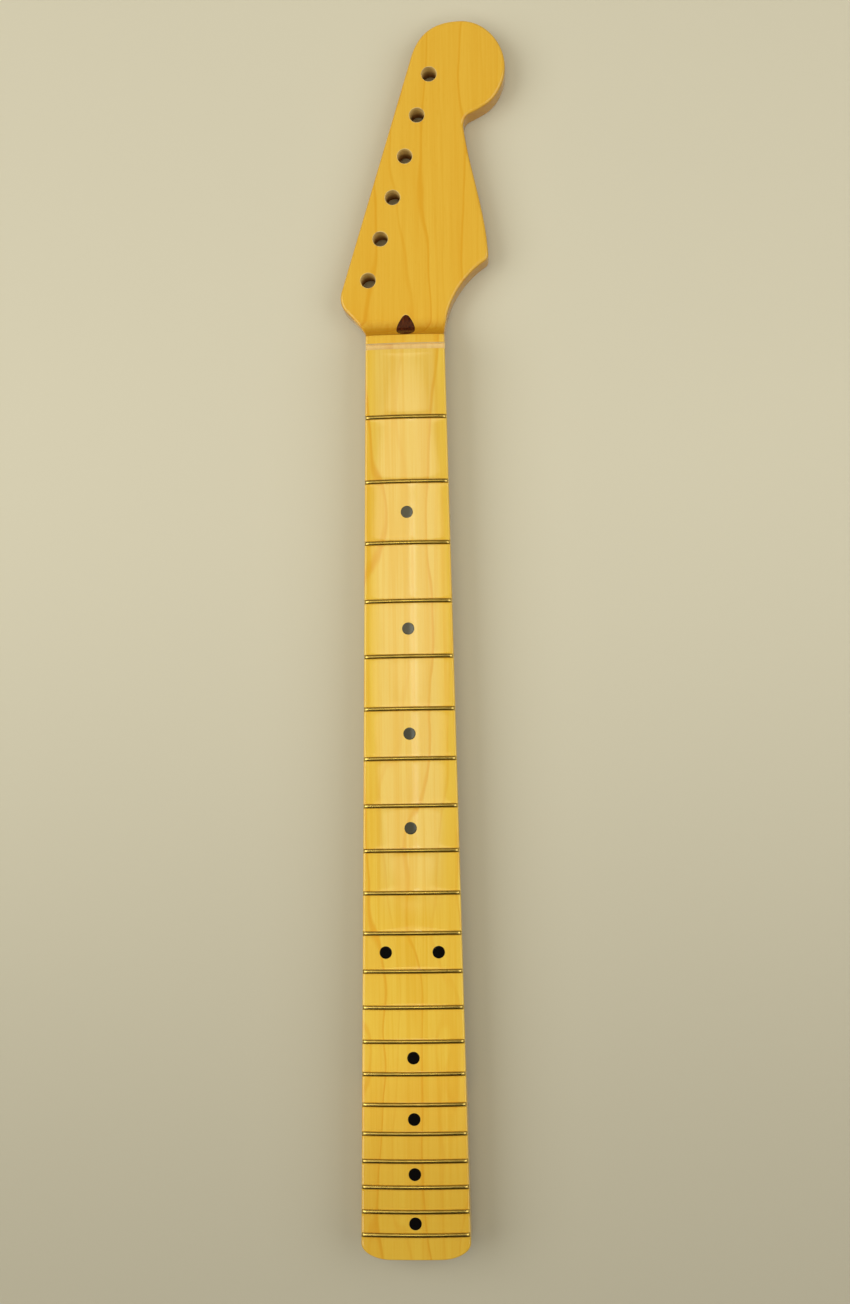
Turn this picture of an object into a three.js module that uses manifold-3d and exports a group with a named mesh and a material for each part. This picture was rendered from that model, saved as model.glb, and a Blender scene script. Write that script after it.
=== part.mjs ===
import * as THREE from "three";
import { mergeVertices } from "three/addons/utils/BufferGeometryUtils.js";
import Module from "manifold-3d";

// A bolt-on electric guitar neck in one piece of maple, lying on its back.
// Millimetres. X runs from the bass side to the treble side, Y from the heel to the headstock,
// and Z from the back to the playing surface. While the pieces are made, y is zero at the front
// edge of the nut slot. The last group moves the origin to the middle of the heel's seat.

const wasm = await Module();
wasm.setup();

// Scale and playing surface
const scaleLength = 647.7;
const fretCount = 21;
const semitonesPerOctave = 12;
const nutWidth = 41.9;
const heelWidth = 55.7;
const heelOverhang = 12.3;
const boardRadius = 184.15;
const blankThickness = 25.4;

// Nut slot and the shelf behind it
const nutSlotWidth = 3.3;
const nutSlotDepth = 3.2;
const nutShelfLength = 4.4;

// Headstock and tuner bores
const headThickness = 14.3;
const headWidth = 89.4;
const headEdgeRound = 1.5;
const sweepRadius = 12.1;
const tunerCount = 6;
const tunerBoreDiameter = 8;
const tunerSpacing = 23.6;
const tunerInset = 12.2;
const tunerLeadIn = 8.4;
const tunerLeadOut = 3.9;

// Shank and carved back
const firstFretThickness = 21;
const twelfthFretThickness = 23;
const straightSideDepth = 5.5;
const backRoundness = 2.15;
const carveMargin = 0.05;
const headCarveLead = 10;
const headCarveLength = 38;
const carveDrop = 6;

// Heel
const heelBlockLength = 76.2;
const heelSweepLength = 28;
const heelCornerWidth = 15;
const heelCornerLength = 8;
const screwSpacingAcross = 38.1;
const screwSpacingAlong = 50.8;
const screwEndDistance = 12.7;
const pilotDiameter = 3.2;
const pilotDepth = 16;

// Truss rod, its nut, washer and anchor
const rodDiameter = 4.76;
const rodHeelDepth = 9.5;
const rodNutDiameter = 9.5;
const rodNutLength = 16;
const rodNutRecess = 0.6;
const rodNutChamfer = 0.6;
const driverSlotWidth = 1.5;
const driverSlotDepth = 2.5;
const rodNutWall = 2;
const washerThickness = 1.6;
const anchorDiameter = 9.5;
const anchorLength = 8;
const rodHeelStraight = 56;
const rodHeadStraight = 4;

// Back strip and headstock plug
const stripWidth = 6.35;
const stripThinnest = 4.2;
const stripEndLap = 3;
const plugDiameter = 9.9;
const plugReach = 13.6;
const plugTilt = THREE.MathUtils.degToRad(20);
const plugBoreDepth = 22;

// Frets
const crownWidth = 2.3;
const crownHeight = 1.1;
const crownLip = 0.25;
const crownEndLean = 0.45;
const tangThickness = 0.55;
const tangDepth = 1.6;
const fretEndInset = 0.2;

// Position markers
const markerFretNumbers = [3, 5, 7, 9, 12, 15, 17, 19, 21];
const doubleMarkerFretNumber = 12;
const dotDiameter = 6.35;
const dotThickness = 2;
const dotPairSpread = 27.1;
const sideDotDiameter = 2;
const sideDotDepth = 3;
const sideDotDrop = 3;
const sideDotPairSpread = 11;

// Clearances between pieces, and how far a cutter passes the face that it cuts
const seatGap = 0.3;
const inlayGap = 0.15;
const fretSeatGap = 0.1;
const overrun = 5;

// Counts of steps along round forms
const boardSteps = 10;
const fretSteps = 8;
const crownSteps = 6;
const backSteps = 22;
const sweepSteps = 7;
const outlineSteps = 7;
const cornerSteps = 6;
const boreSides = 24;
const rodSides = 10;
const rodSteps = 26;
const smallSides = 12;

// The headstock's outline, from the bass side of the neck round to the treble side.
// Each row is one curve, as two handles and its end, or one straight line, as its end.
// The shares are of the headstock's width across and of its length from the shelf to the tip.
const headOutlineShares = [
  [[-0.247, 0.038], [-0.32, 0.071], [-0.362, 0.095]],
  [[-0.391, 0.112], [-0.4, 0.134], [-0.382, 0.162]],
  [[0.039, 0.873]],
  [[0.077, 0.95], [0.157, 1], [0.347, 1]],
  [[0.508, 1], [0.622, 0.92], [0.616, 0.846]],
  [[0.614, 0.803], [0.57, 0.753], [0.494, 0.729]],
  [[0.462, 0.719], [0.432, 0.711], [0.4, 0.704]],
  [[0.371, 0.697], [0.356, 0.679], [0.361, 0.66]],
  [[0.394, 0.528], [0.48, 0.406], [0.497, 0.27]],
  [[0.499, 0.256], [0.499, 0.247], [0.472, 0.238]],
];
const trebleFlareShares = [[0.346, 0.196], [0.215, 0.102]];
const edgeStartRow = 1;
const edgeEndRow = 2;

// How far the carved back spreads past the sides, and how it opens, where it leaves the shank
const heelSpreadShare = 1.2;
const headSpreadShare = 2.6;
const clearSpreadShare = 20;
const spreadPower = 3;
const dropPower = 2;

// The handles of the truss rod's bends, as shares of each bend's length
const rodHeelHandleShare = 0.4;
const rodHeadHandleShare = 0.08;
const rodLowPlaceShare = 0.42;

// Places and sizes that follow from the ones above
const heelEndY = -(fretDistance(fretCount) + heelOverhang);
const shelfEndY = nutSlotWidth + nutShelfLength;
const sweepRise = blankThickness - headThickness;
const sweepRun = Math.sqrt(sweepRadius ** 2 - (sweepRadius - sweepRise) ** 2);
const sweepEndY = shelfEndY + sweepRun;
const headEdgeLength = (tunerCount - 1) * tunerSpacing + tunerLeadIn + tunerLeadOut;
const headLength = headLengthFromEdge();
const headTipY = shelfEndY + headLength;
const rodRadius = rodDiameter / 2;
const rodHeelZ = blankThickness - rodHeelDepth;
const nutBoreRadius = rodNutDiameter / 2 + seatGap;
const rodNutFaceY = heelEndY + rodNutRecess;
const nutBoreFloorY = rodNutFaceY + rodNutLength + washerThickness + 2 * seatGap;
const rodHoleInNutDepth = rodNutLength - driverSlotDepth - rodNutWall;
const plugRadius = plugDiameter / 2;
const plugBoreRadius = plugRadius + inlayGap;
const plugAxis = new THREE.Vector3(0, Math.cos(plugTilt), Math.sin(plugTilt));
const plugTip = new THREE.Vector3(0, shelfEndY + plugReach, headThickness + plugRadius / Math.cos(plugTilt));
const plugBoreFloor = alongPlug(-plugBoreDepth);
const anchorStart = alongPlug(seatGap - plugBoreDepth);
const anchorEnd = alongPlug(seatGap + anchorLength - plugBoreDepth);
const plugStart = alongPlug(2 * seatGap + anchorLength - plugBoreDepth);
const rodHeadBend = alongPlug(-plugBoreDepth - rodHeadStraight);
const rodHeelBend = new THREE.Vector3(0, heelEndY + rodHeelStraight + rodNutLength, rodHeelZ);
const rodPath = trussRodPath();
const stripHeelY = rodHeelBend.y - stripEndLap;
const stripHeadY = rodHeadBend.y + stripEndLap;
const heelSeatY = heelEndY + heelBlockLength / 2;

// Finishes
const lacqueredMaple = finish(0xe2b042, 0.25, 0);
const walnut = finish(0x3d1c0d, 0.35, 0);
const fretWire = finish(0xb9a878, 0.3, 1);
const blackInlay = finish(0x141210, 0.35, 0);
const blackSteel = finish(0x55534f, 0.45, 1);
const zincSteel = finish(0x9c9a94, 0.4, 1);

function finish(color, roughness, metalness) {
  return new THREE.MeshStandardMaterial({ color, roughness, metalness });
}

// Distance from the nut to a fret, by equal temperament
function fretDistance(fret) {
  return scaleLength * (1 - 2 ** (-fret / semitonesPerOctave));
}

function halfWidthAt(y) {
  return (nutWidth + ((heelWidth - nutWidth) * y) / heelEndY) / 2;
}

// How far the radiused playing surface lies below its centre line
function boardDrop(x) {
  return boardRadius - Math.sqrt(boardRadius ** 2 - x ** 2);
}

// Height of the shank's back, which rises evenly between the first fret and the twelfth
function backHeightAt(y) {
  const first = fretDistance(1);
  const octave = fretDistance(semitonesPerOctave);
  const share = (-y - first) / (octave - first);
  return blankThickness - firstFretThickness - (twelfthFretThickness - firstFretThickness) * share;
}

// The tuners stand along the headstock's straight edge, so that edge sets the headstock's length
function headLengthFromEdge() {
  const [start] = headOutlineShares[edgeStartRow].slice(-1);
  const [end] = headOutlineShares[edgeEndRow].slice(-1);
  const across = (end[0] - start[0]) * headWidth;
  return Math.sqrt(headEdgeLength ** 2 - across ** 2) / (end[1] - start[1]);
}

function headPoint([acrossShare, alongShare]) {
  return new THREE.Vector2(acrossShare * headWidth, shelfEndY + alongShare * headLength);
}

function alongPlug(distance) {
  return plugTip.clone().addScaledVector(plugAxis, distance);
}

// Geometry helpers: each extrusion runs along one axis, evenly about zero unless it says otherwise

function turnTo(geometry, xAxis, yAxis, zAxis) {
  const turn = new THREE.Matrix4().makeBasis(xAxis, yAxis, zAxis);
  return geometry.applyMatrix4(turn);
}

// A shape drawn in x and y, from one height to another
function extrudeUp(shape, low, high) {
  const options = { depth: high - low, bevelEnabled: false, curveSegments: cornerSteps };
  return new THREE.ExtrudeGeometry(shape, options).translate(0, 0, low);
}

// A shape drawn in y and z
function extrudeAcross(shape, halfWidth, steps = 1) {
  const options = { depth: 2 * halfWidth, bevelEnabled: false, steps, curveSegments: crownSteps / 2 };
  const geometry = new THREE.ExtrudeGeometry(shape, options).translate(0, 0, -halfWidth);
  return turnTo(
    geometry,
    new THREE.Vector3(0, 1, 0),
    new THREE.Vector3(0, 0, 1),
    new THREE.Vector3(1, 0, 0),
  );
}

// A shape drawn in x and z, from one y to another
function extrudeAlong(shape, startY, endY) {
  const options = { depth: endY - startY, bevelEnabled: false, curveSegments: boreSides / 2 };
  const geometry = new THREE.ExtrudeGeometry(shape, options);
  turnTo(
    geometry,
    new THREE.Vector3(1, 0, 0),
    new THREE.Vector3(0, 0, 1),
    new THREE.Vector3(0, -1, 0),
  );
  return geometry.translate(0, endY, 0);
}

function box(width, length, height, centre) {
  return new THREE.BoxGeometry(width, length, height).translate(centre.x, centre.y, centre.z);
}

function rodBetween(start, end, radius, sides) {
  const axis = end.clone().sub(start);
  const turn = new THREE.Quaternion().setFromUnitVectors(
    new THREE.Vector3(0, 1, 0),
    axis.clone().normalize(),
  );
  const middle = start.clone().add(end).divideScalar(2);
  return new THREE.CylinderGeometry(radius, radius, axis.length(), sides)
    .applyQuaternion(turn)
    .translate(middle.x, middle.y, middle.z);
}

function polygon(points) {
  return new THREE.Shape(points.map(([x, y]) => new THREE.Vector2(x, y)));
}

// Sinks a geometry that runs across the neck so that it follows the radiused playing surface
function bendToBoard(geometry) {
  const position = geometry.attributes.position;
  for (let i = 0; i < position.count; i += 1) {
    position.setZ(i, position.getZ(i) - boardDrop(position.getX(i)));
  }
  return geometry;
}

function solidFrom(geometry) {
  const bare = geometry.clone();
  bare.deleteAttribute("normal");
  bare.deleteAttribute("uv");
  const merged = mergeVertices(bare);
  const options = {
    numProp: merged.attributes.position.itemSize,
    vertProperties: merged.attributes.position.array,
    triVerts: new Uint32Array(merged.index.array),
  };
  return new wasm.Manifold(new wasm.Mesh(options));
}

function geometryFrom(solid) {
  const made = solid.getMesh();
  const geometry = new THREE.BufferGeometry();
  geometry.setAttribute("position", new THREE.BufferAttribute(made.vertProperties, made.numProp));
  geometry.setIndex(new THREE.BufferAttribute(made.triVerts, 1));
  geometry.computeVertexNormals();
  return geometry;
}

function piece(name, geometry, material) {
  const mesh = new THREE.Mesh(geometry, material);
  mesh.name = name;
  return mesh;
}

// Neck blank, before anything is cut into it

// The shank and heel seen from above, up to where the headstock's face begins
function neckPlan() {
  const headHalf = halfWidthAt(sweepEndY);
  const heelHalf = heelWidth / 2;
  const cornerX = heelHalf - heelCornerWidth;
  const cornerY = heelEndY + heelCornerLength;
  const radii = [heelCornerWidth, heelCornerLength];
  const shape = new THREE.Shape();
  shape.moveTo(-headHalf, sweepEndY);
  shape.lineTo(-heelHalf, cornerY);
  shape.absellipse(-cornerX, cornerY, ...radii, Math.PI, 1.5 * Math.PI, false);
  shape.absellipse(cornerX, cornerY, ...radii, 1.5 * Math.PI, 2 * Math.PI, false);
  shape.lineTo(headHalf, sweepEndY);
  return shape;
}

function headPlan() {
  const neckHalf = halfWidthAt(shelfEndY) - carveMargin;
  const shape = new THREE.Shape();
  shape.moveTo(-neckHalf, shelfEndY);
  for (const row of headOutlineShares) {
    const points = row.map(headPoint);
    if (points.length === 1) {
      shape.lineTo(points[0].x, points[0].y);
    } else {
      const [first, second, end] = points;
      shape.bezierCurveTo(first.x, first.y, second.x, second.y, end.x, end.y);
    }
  }
  const [first, second] = trebleFlareShares.map(headPoint);
  shape.bezierCurveTo(first.x, first.y, second.x, second.y, neckHalf, shelfEndY);
  return shape;
}

// Everything under the radiused playing surface
function underBoard() {
  const reach = heelWidth / 2 + overrun;
  const points = [[-reach, -overrun], [reach, -overrun]];
  for (let i = 0; i <= boardSteps; i += 1) {
    const x = reach - (2 * reach * i) / boardSteps;
    points.push([x, blankThickness - boardDrop(x)]);
  }
  return solidFrom(extrudeAlong(polygon(points), heelEndY - overrun, sweepEndY + overrun));
}

// The hollow sweep from the shelf behind the nut down to the headstock's face
function headSweep() {
  const centreZ = headThickness + sweepRadius;
  const endAngle = Math.asin((centreZ - blankThickness) / sweepRadius);
  const points = [];
  for (let i = 0; i <= backSteps / 2; i += 1) {
    const angle = endAngle + ((Math.PI / 2 - endAngle) * 2 * i) / backSteps;
    const y = sweepEndY - sweepRadius * Math.cos(angle);
    points.push([y, centreZ - sweepRadius * Math.sin(angle)]);
  }
  points.push([sweepEndY + overrun, headThickness]);
  points.push([sweepEndY + overrun, blankThickness + overrun]);
  points.push([shelfEndY, blankThickness + overrun]);
  return solidFrom(extrudeAcross(polygon(points), nutWidth));
}

// One cross-section of the carved back, as a ring round everything that the carving leaves
function carveRing(y, spread, drop) {
  const halfWidth = halfWidthAt(y) * (1 + spread) + carveMargin;
  const sideZ = blankThickness - straightSideDepth;
  const depth = sideZ - backHeightAt(y) + drop;
  const ring = [];
  for (let i = 0; i <= backSteps; i += 1) {
    const angle = (Math.PI * i) / backSteps;
    const across = Math.sign(Math.cos(angle)) * Math.abs(Math.cos(angle)) ** (2 / backRoundness);
    const down = Math.max(Math.sin(angle), 0) ** (2 / backRoundness);
    ring.push(new THREE.Vector3(-halfWidth * across, y, sideZ - depth * down));
  }
  ring.push(new THREE.Vector3(halfWidth, y, blankThickness + overrun));
  ring.push(new THREE.Vector3(-halfWidth, y, blankThickness + overrun));
  return ring;
}

// The rings of one run-out, from the shank to where the carving has left the wood
function carveRunOut(startY, length, spreadShare) {
  const rings = [];
  for (let i = 0; i <= sweepSteps; i += 1) {
    const share = i / sweepSteps;
    const spread = spreadShare * share ** spreadPower;
    rings.push(carveRing(startY + length * share, spread, carveDrop * share ** dropPower));
  }
  return rings;
}

function carvedBack() {
  const heelStartY = heelEndY + heelBlockLength + heelSweepLength;
  const rings = [
    carveRing(heelEndY - overrun, heelSpreadShare, carveDrop),
    ...carveRunOut(heelStartY, -heelSweepLength, heelSpreadShare).reverse(),
    ...carveRunOut(-headCarveLead, headCarveLength, headSpreadShare),
    carveRing(headTipY + overrun, clearSpreadShare, blankThickness),
  ];
  return solidFrom(loft(rings));
}

// Joins convex rings of equal count into one closed body
function loft(rings) {
  const ringSize = rings[0].length;
  const points = rings.flat();
  const faces = [];
  for (let ring = 0; ring < rings.length - 1; ring += 1) {
    for (let i = 0; i < ringSize; i += 1) {
      const near = ring * ringSize + i;
      const nearNext = ring * ringSize + ((i + 1) % ringSize);
      faces.push(near, near + ringSize, nearNext + ringSize);
      faces.push(near, nearNext + ringSize, nearNext);
    }
  }
  const last = points.length - ringSize;
  for (let i = 1; i < ringSize - 1; i += 1) {
    faces.push(0, i, i + 1);
    faces.push(last, last + i + 1, last + i);
  }
  const geometry = new THREE.BufferGeometry().setFromPoints(points);
  geometry.setIndex(faces);
  return geometry;
}

function headSlab() {
  const options = {
    depth: headThickness - 2 * headEdgeRound,
    bevelThickness: headEdgeRound,
    bevelSize: headEdgeRound,
    bevelOffset: -headEdgeRound,
    bevelSegments: 2,
    curveSegments: outlineSteps,
  };
  const geometry = new THREE.ExtrudeGeometry(headPlan(), options);
  return solidFrom(geometry.translate(0, 0, headEdgeRound));
}

function blankBody() {
  const neck = solidFrom(extrudeUp(neckPlan(), 0, blankThickness + overrun))
    .intersect(underBoard())
    .subtract(headSweep());
  return neck.add(headSlab()).intersect(carvedBack());
}

// Frets and their slots

function fretY(fret) {
  return -fretDistance(fret);
}

// The fret's section along the neck: a domed crown over a thin tang
function fretProfile() {
  const shape = new THREE.Shape();
  shape.moveTo(crownWidth / 2, 0);
  shape.lineTo(crownWidth / 2, crownLip);
  shape.absellipse(0, crownLip, crownWidth / 2, crownHeight - crownLip, 0, Math.PI, false);
  shape.lineTo(-crownWidth / 2, 0);
  shape.lineTo(-tangThickness / 2, 0);
  shape.lineTo(-tangThickness / 2, -tangDepth);
  shape.lineTo(tangThickness / 2, -tangDepth);
  shape.lineTo(tangThickness / 2, 0);
  return shape;
}

// The fret's ends lean in towards the top, so that they don't catch the hand
function leanEnds(geometry, halfLength) {
  const position = geometry.attributes.position;
  for (let i = 0; i < position.count; i += 1) {
    const x = position.getX(i);
    const height = Math.max(position.getZ(i), 0);
    position.setX(i, x * (1 - (crownEndLean * height) / halfLength));
  }
  return geometry;
}

function fret(number) {
  const halfLength = halfWidthAt(fretY(number)) - fretEndInset;
  const straight = extrudeAcross(fretProfile(), halfLength, fretSteps);
  const geometry = bendToBoard(leanEnds(straight, halfLength));
  const name = `fret_${String(number).padStart(2, "0")}`;
  const mesh = piece(name, geometry, fretWire);
  mesh.position.set(0, fretY(number), blankThickness + fretSeatGap);
  return mesh;
}

function fretSlot(number) {
  const halfLength = halfWidthAt(fretY(number)) + overrun;
  const half = tangThickness / 2 + fretSeatGap;
  const floor = -tangDepth - fretSeatGap;
  const profile = polygon([[-half, floor], [half, floor], [half, overrun], [-half, overrun]]);
  const geometry = bendToBoard(extrudeAcross(profile, halfLength, fretSteps));
  return solidFrom(geometry.translate(0, fretY(number), blankThickness));
}

// Position markers on the face and on the bass edge

function markerY(number) {
  return (fretY(number) + fretY(number - 1)) / 2;
}

// Where the dots of the playing surface stand, with their names
function dotPlaces() {
  const places = [];
  for (const number of markerFretNumbers) {
    const name = `dot_${String(number).padStart(2, "0")}`;
    const y = markerY(number);
    if (number === doubleMarkerFretNumber) {
      places.push({ name: `${name}_bass`, x: -dotPairSpread / 2, y });
      places.push({ name: `${name}_treble`, x: dotPairSpread / 2, y });
    } else {
      places.push({ name, x: 0, y });
    }
  }
  return places;
}

function sideDotPlaces() {
  const places = [];
  for (const number of markerFretNumbers) {
    const name = `side_dot_${String(number).padStart(2, "0")}`;
    const y = markerY(number);
    if (number === doubleMarkerFretNumber) {
      places.push({ name: `${name}_near_heel`, y: y - sideDotPairSpread / 2 });
      places.push({ name: `${name}_near_nut`, y: y + sideDotPairSpread / 2 });
    } else {
      places.push({ name, y });
    }
  }
  return places;
}

function sideDotZ(y) {
  return blankThickness - boardDrop(halfWidthAt(y)) - sideDotDrop;
}

function dotFloorZ(x) {
  return blankThickness - boardDrop(Math.abs(x) + dotDiameter / 2) - dotThickness;
}

function dot({ name, x, y }, surface) {
  const low = new THREE.Vector3(x, y, dotFloorZ(x));
  const high = new THREE.Vector3(x, y, blankThickness + overrun);
  const disc = solidFrom(rodBetween(low, high, dotDiameter / 2, boreSides)).intersect(surface);
  return piece(name, geometryFrom(disc), blackInlay);
}

function dotHole({ x, y }) {
  const low = new THREE.Vector3(x, y, dotFloorZ(x));
  const high = new THREE.Vector3(x, y, blankThickness + overrun);
  return solidFrom(rodBetween(low, high, dotDiameter / 2 + inlayGap, boreSides));
}

function sideDot({ name, y }) {
  const geometry = new THREE.CylinderGeometry(
    sideDotDiameter / 2,
    sideDotDiameter / 2,
    sideDotDepth,
    smallSides,
  );
  const mesh = piece(name, geometry, blackInlay);
  mesh.rotation.z = Math.PI / 2;
  mesh.position.set(sideDotDepth / 2 - halfWidthAt(y), y, sideDotZ(y));
  return mesh;
}

function sideDotHole({ y }) {
  const floor = new THREE.Vector3(sideDotDepth + inlayGap - halfWidthAt(y), y, sideDotZ(y));
  const mouth = new THREE.Vector3(-halfWidthAt(y) - overrun, y, sideDotZ(y));
  return solidFrom(rodBetween(floor, mouth, sideDotDiameter / 2 + inlayGap, smallSides));
}

// Tuner bores, along the headstock's straight edge

function tunerBores() {
  const start = headPoint(headOutlineShares[edgeStartRow].at(-1));
  const end = headPoint(headOutlineShares[edgeEndRow].at(-1));
  const along = end.clone().sub(start).normalize();
  const inward = new THREE.Vector2(along.y, -along.x);
  const bores = [];
  for (let i = 0; i < tunerCount; i += 1) {
    const place = start.clone().addScaledVector(inward, tunerInset);
    place.addScaledVector(along, tunerLeadIn + i * tunerSpacing);
    const low = new THREE.Vector3(place.x, place.y, -overrun);
    const high = new THREE.Vector3(place.x, place.y, headThickness + overrun);
    bores.push(solidFrom(rodBetween(low, high, tunerBoreDiameter / 2, boreSides)));
  }
  return bores;
}

// Truss rod, with what holds it at both ends

// The rod runs straight through its nut, dips towards the back under the middle frets,
// and ends straight in the tilted bore under the headstock plug
function trussRodPath() {
  const lowY = rodHeelBend.y + (rodHeadBend.y - rodHeelBend.y) * rodLowPlaceShare;
  const lowZ = backHeightAt(lowY) + stripThinnest + seatGap + rodRadius;
  const low = new THREE.Vector3(0, lowY, lowZ);
  const heelHandle = (lowY - rodHeelBend.y) * rodHeelHandleShare;
  const headRun = rodHeadBend.y - lowY;
  const tip = new THREE.Vector3(0, rodNutFaceY + driverSlotDepth + rodNutWall + seatGap, rodHeelZ);
  const path = new THREE.CurvePath();
  path.add(new THREE.LineCurve3(tip, rodHeelBend));
  path.add(
    new THREE.CubicBezierCurve3(
      rodHeelBend,
      rodHeelBend.clone().add(new THREE.Vector3(0, heelHandle, 0)),
      low.clone().sub(new THREE.Vector3(0, heelHandle, 0)),
      low,
    ),
  );
  path.add(
    new THREE.CubicBezierCurve3(
      low,
      low.clone().add(new THREE.Vector3(0, headRun * rodHeelHandleShare, 0)),
      rodHeadBend.clone().addScaledVector(plugAxis, -headRun * rodHeadHandleShare),
      rodHeadBend,
    ),
  );
  path.add(new THREE.LineCurve3(rodHeadBend, anchorEnd));
  return path;
}

function trussRod() {
  const section = new THREE.Shape().absarc(0, 0, rodRadius, 0, 2 * Math.PI, false);
  const options = { steps: rodSteps, extrudePath: rodPath, curveSegments: rodSides / 2 };
  return piece("truss_rod", new THREE.ExtrudeGeometry(section, options), blackSteel);
}

// The space below the rod's centre line, moved up by a given height
function underRod(lift) {
  const points = [];
  for (const { y, z } of rodPath.getSpacedPoints(rodSteps)) {
    points.push([y, z + lift]);
  }
  points.push([anchorEnd.y, -overrun]);
  points.push([points[0][0], -overrun]);
  return solidFrom(extrudeAcross(polygon(points), stripWidth));
}

// The round-ended slot in the back, seen from above
function stripPlan(gap) {
  const half = stripWidth / 2 + gap;
  const heelCentreY = stripHeelY + stripWidth / 2;
  const headCentreY = stripHeadY - stripWidth / 2;
  const shape = new THREE.Shape();
  shape.absarc(0, heelCentreY, half, Math.PI, 2 * Math.PI, false);
  shape.absarc(0, headCentreY, half, 0, Math.PI, false);
  return extrudeUp(shape, -overrun, blankThickness);
}

// The slot clears the rod where it runs level, and where it slopes up to the plug
function rodSlot() {
  const lift = (rodRadius + seatGap) / Math.cos(plugTilt);
  return solidFrom(stripPlan(seatGap)).intersect(underRod(lift));
}

function backStrip(blank) {
  const strip = solidFrom(stripPlan(0)).intersect(underRod(-rodRadius - seatGap));
  return piece("skunk_stripe", geometryFrom(strip.intersect(blank)), walnut);
}

// A ring round the Y axis, from zero up to its length
function ring(outerRadius, innerRadius, length) {
  const section = new THREE.Shape().absarc(0, 0, outerRadius, 0, 2 * Math.PI, false);
  section.holes.push(new THREE.Path().absarc(0, 0, innerRadius, 0, 2 * Math.PI, true));
  return extrudeAlong(section, 0, length);
}

function rodAnchor() {
  const geometry = ring(anchorDiameter / 2, rodRadius + seatGap, anchorLength);
  const mesh = piece("truss_rod_anchor", geometry, zincSteel);
  mesh.rotation.x = plugTilt;
  mesh.position.copy(anchorStart);
  return mesh;
}

function rodWasher() {
  const geometry = ring(rodNutDiameter / 2, rodRadius + seatGap, washerThickness);
  const mesh = piece("truss_rod_washer", geometry, zincSteel);
  mesh.position.set(0, rodNutFaceY + rodNutLength + seatGap, rodHeelZ);
  return mesh;
}

// A round nut with a blind bore for the rod and a crossed slot for a driver
function rodNut() {
  const radius = rodNutDiameter / 2;
  const holeRadius = rodRadius + seatGap;
  const profile = [
    [0, 0],
    [radius - rodNutChamfer, 0],
    [radius, rodNutChamfer],
    [radius, rodNutLength],
    [holeRadius, rodNutLength],
    [holeRadius, rodNutLength - rodHoleInNutDepth],
    [0, rodNutLength - rodHoleInNutDepth],
  ].map(([x, y]) => new THREE.Vector2(x, y));
  const turned = solidFrom(new THREE.LatheGeometry(profile, boreSides));
  const centre = new THREE.Vector3(0, 0, 0);
  const length = 2 * driverSlotDepth;
  const slot = solidFrom(box(2 * rodNutDiameter, length, driverSlotWidth, centre));
  const crossSlot = solidFrom(box(driverSlotWidth, length, 2 * rodNutDiameter, centre));
  const geometry = geometryFrom(turned.subtract(slot).subtract(crossSlot));
  const mesh = piece("truss_rod_nut", geometry, zincSteel);
  mesh.position.set(0, rodNutFaceY, rodHeelZ);
  return mesh;
}

function rodNutBore() {
  const mouth = new THREE.Vector3(0, heelEndY - overrun, rodHeelZ);
  const floor = new THREE.Vector3(0, nutBoreFloorY, rodHeelZ);
  return solidFrom(rodBetween(mouth, floor, nutBoreRadius, boreSides));
}

// The drilled ends of the rod's passage, from the slot to the nut's bore and to the plug's
function rodHoles() {
  const radius = rodRadius + seatGap;
  const heelMouth = new THREE.Vector3(0, nutBoreFloorY - overrun, rodHeelZ);
  const heelInside = new THREE.Vector3(0, stripHeelY + stripWidth, rodHeelZ);
  const headMouth = plugBoreFloor.clone().addScaledVector(plugAxis, overrun);
  return [
    solidFrom(rodBetween(heelMouth, heelInside, radius, smallSides)),
    solidFrom(rodBetween(rodHeadBend, headMouth, radius, smallSides)),
  ];
}

function headPlug(blank) {
  const outside = alongPlug(plugReach + overrun);
  const plug = solidFrom(rodBetween(plugStart, outside, plugRadius, boreSides)).intersect(blank);
  return piece("headstock_plug", geometryFrom(plug), walnut);
}

function headPlugBore() {
  const outside = alongPlug(plugReach + overrun);
  return solidFrom(rodBetween(plugBoreFloor, outside, plugBoreRadius, boreSides));
}

function nutSlot() {
  const height = nutSlotDepth + overrun;
  const z = blankThickness - nutSlotDepth + height / 2;
  const centre = new THREE.Vector3(0, nutSlotWidth / 2, z);
  return solidFrom(box(2 * nutWidth, nutSlotWidth, height, centre));
}

// Pilot holes in the heel for the four screws that hold the neck to a body
function pilotHoles() {
  const holes = [];
  for (const side of [-1, 1]) {
    for (const row of [0, 1]) {
      const x = (side * screwSpacingAcross) / 2;
      const y = heelEndY + screwEndDistance + row * screwSpacingAlong;
      const low = new THREE.Vector3(x, y, -overrun);
      const high = new THREE.Vector3(x, y, pilotDepth);
      holes.push(solidFrom(rodBetween(low, high, pilotDiameter / 2, smallSides)));
    }
  }
  return holes;
}

function fretNumbers() {
  return Array.from({ length: fretCount }, (_, i) => i + 1);
}

function neckBlank(blank) {
  const cutters = [
    nutSlot(),
    rodSlot(),
    rodNutBore(),
    headPlugBore(),
    ...rodHoles(),
    ...tunerBores(),
    ...pilotHoles(),
    ...fretNumbers().map(fretSlot),
    ...dotPlaces().map(dotHole),
    ...sideDotPlaces().map(sideDotHole),
  ];
  const cut = cutters.reduce((body, cutter) => body.subtract(cutter), blank);
  return piece("neck_blank", geometryFrom(cut), lacqueredMaple);
}

// Assembly

function frets() {
  const group = new THREE.Group();
  group.add(...fretNumbers().map(fret));
  return group;
}

function markers() {
  const surface = underBoard();
  const group = new THREE.Group();
  group.add(...dotPlaces().map((place) => dot(place, surface)));
  group.add(...sideDotPlaces().map(sideDot));
  return group;
}

function trussRodParts() {
  const group = new THREE.Group();
  group.add(trussRod(), rodAnchor(), rodWasher(), rodNut());
  return group;
}

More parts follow.
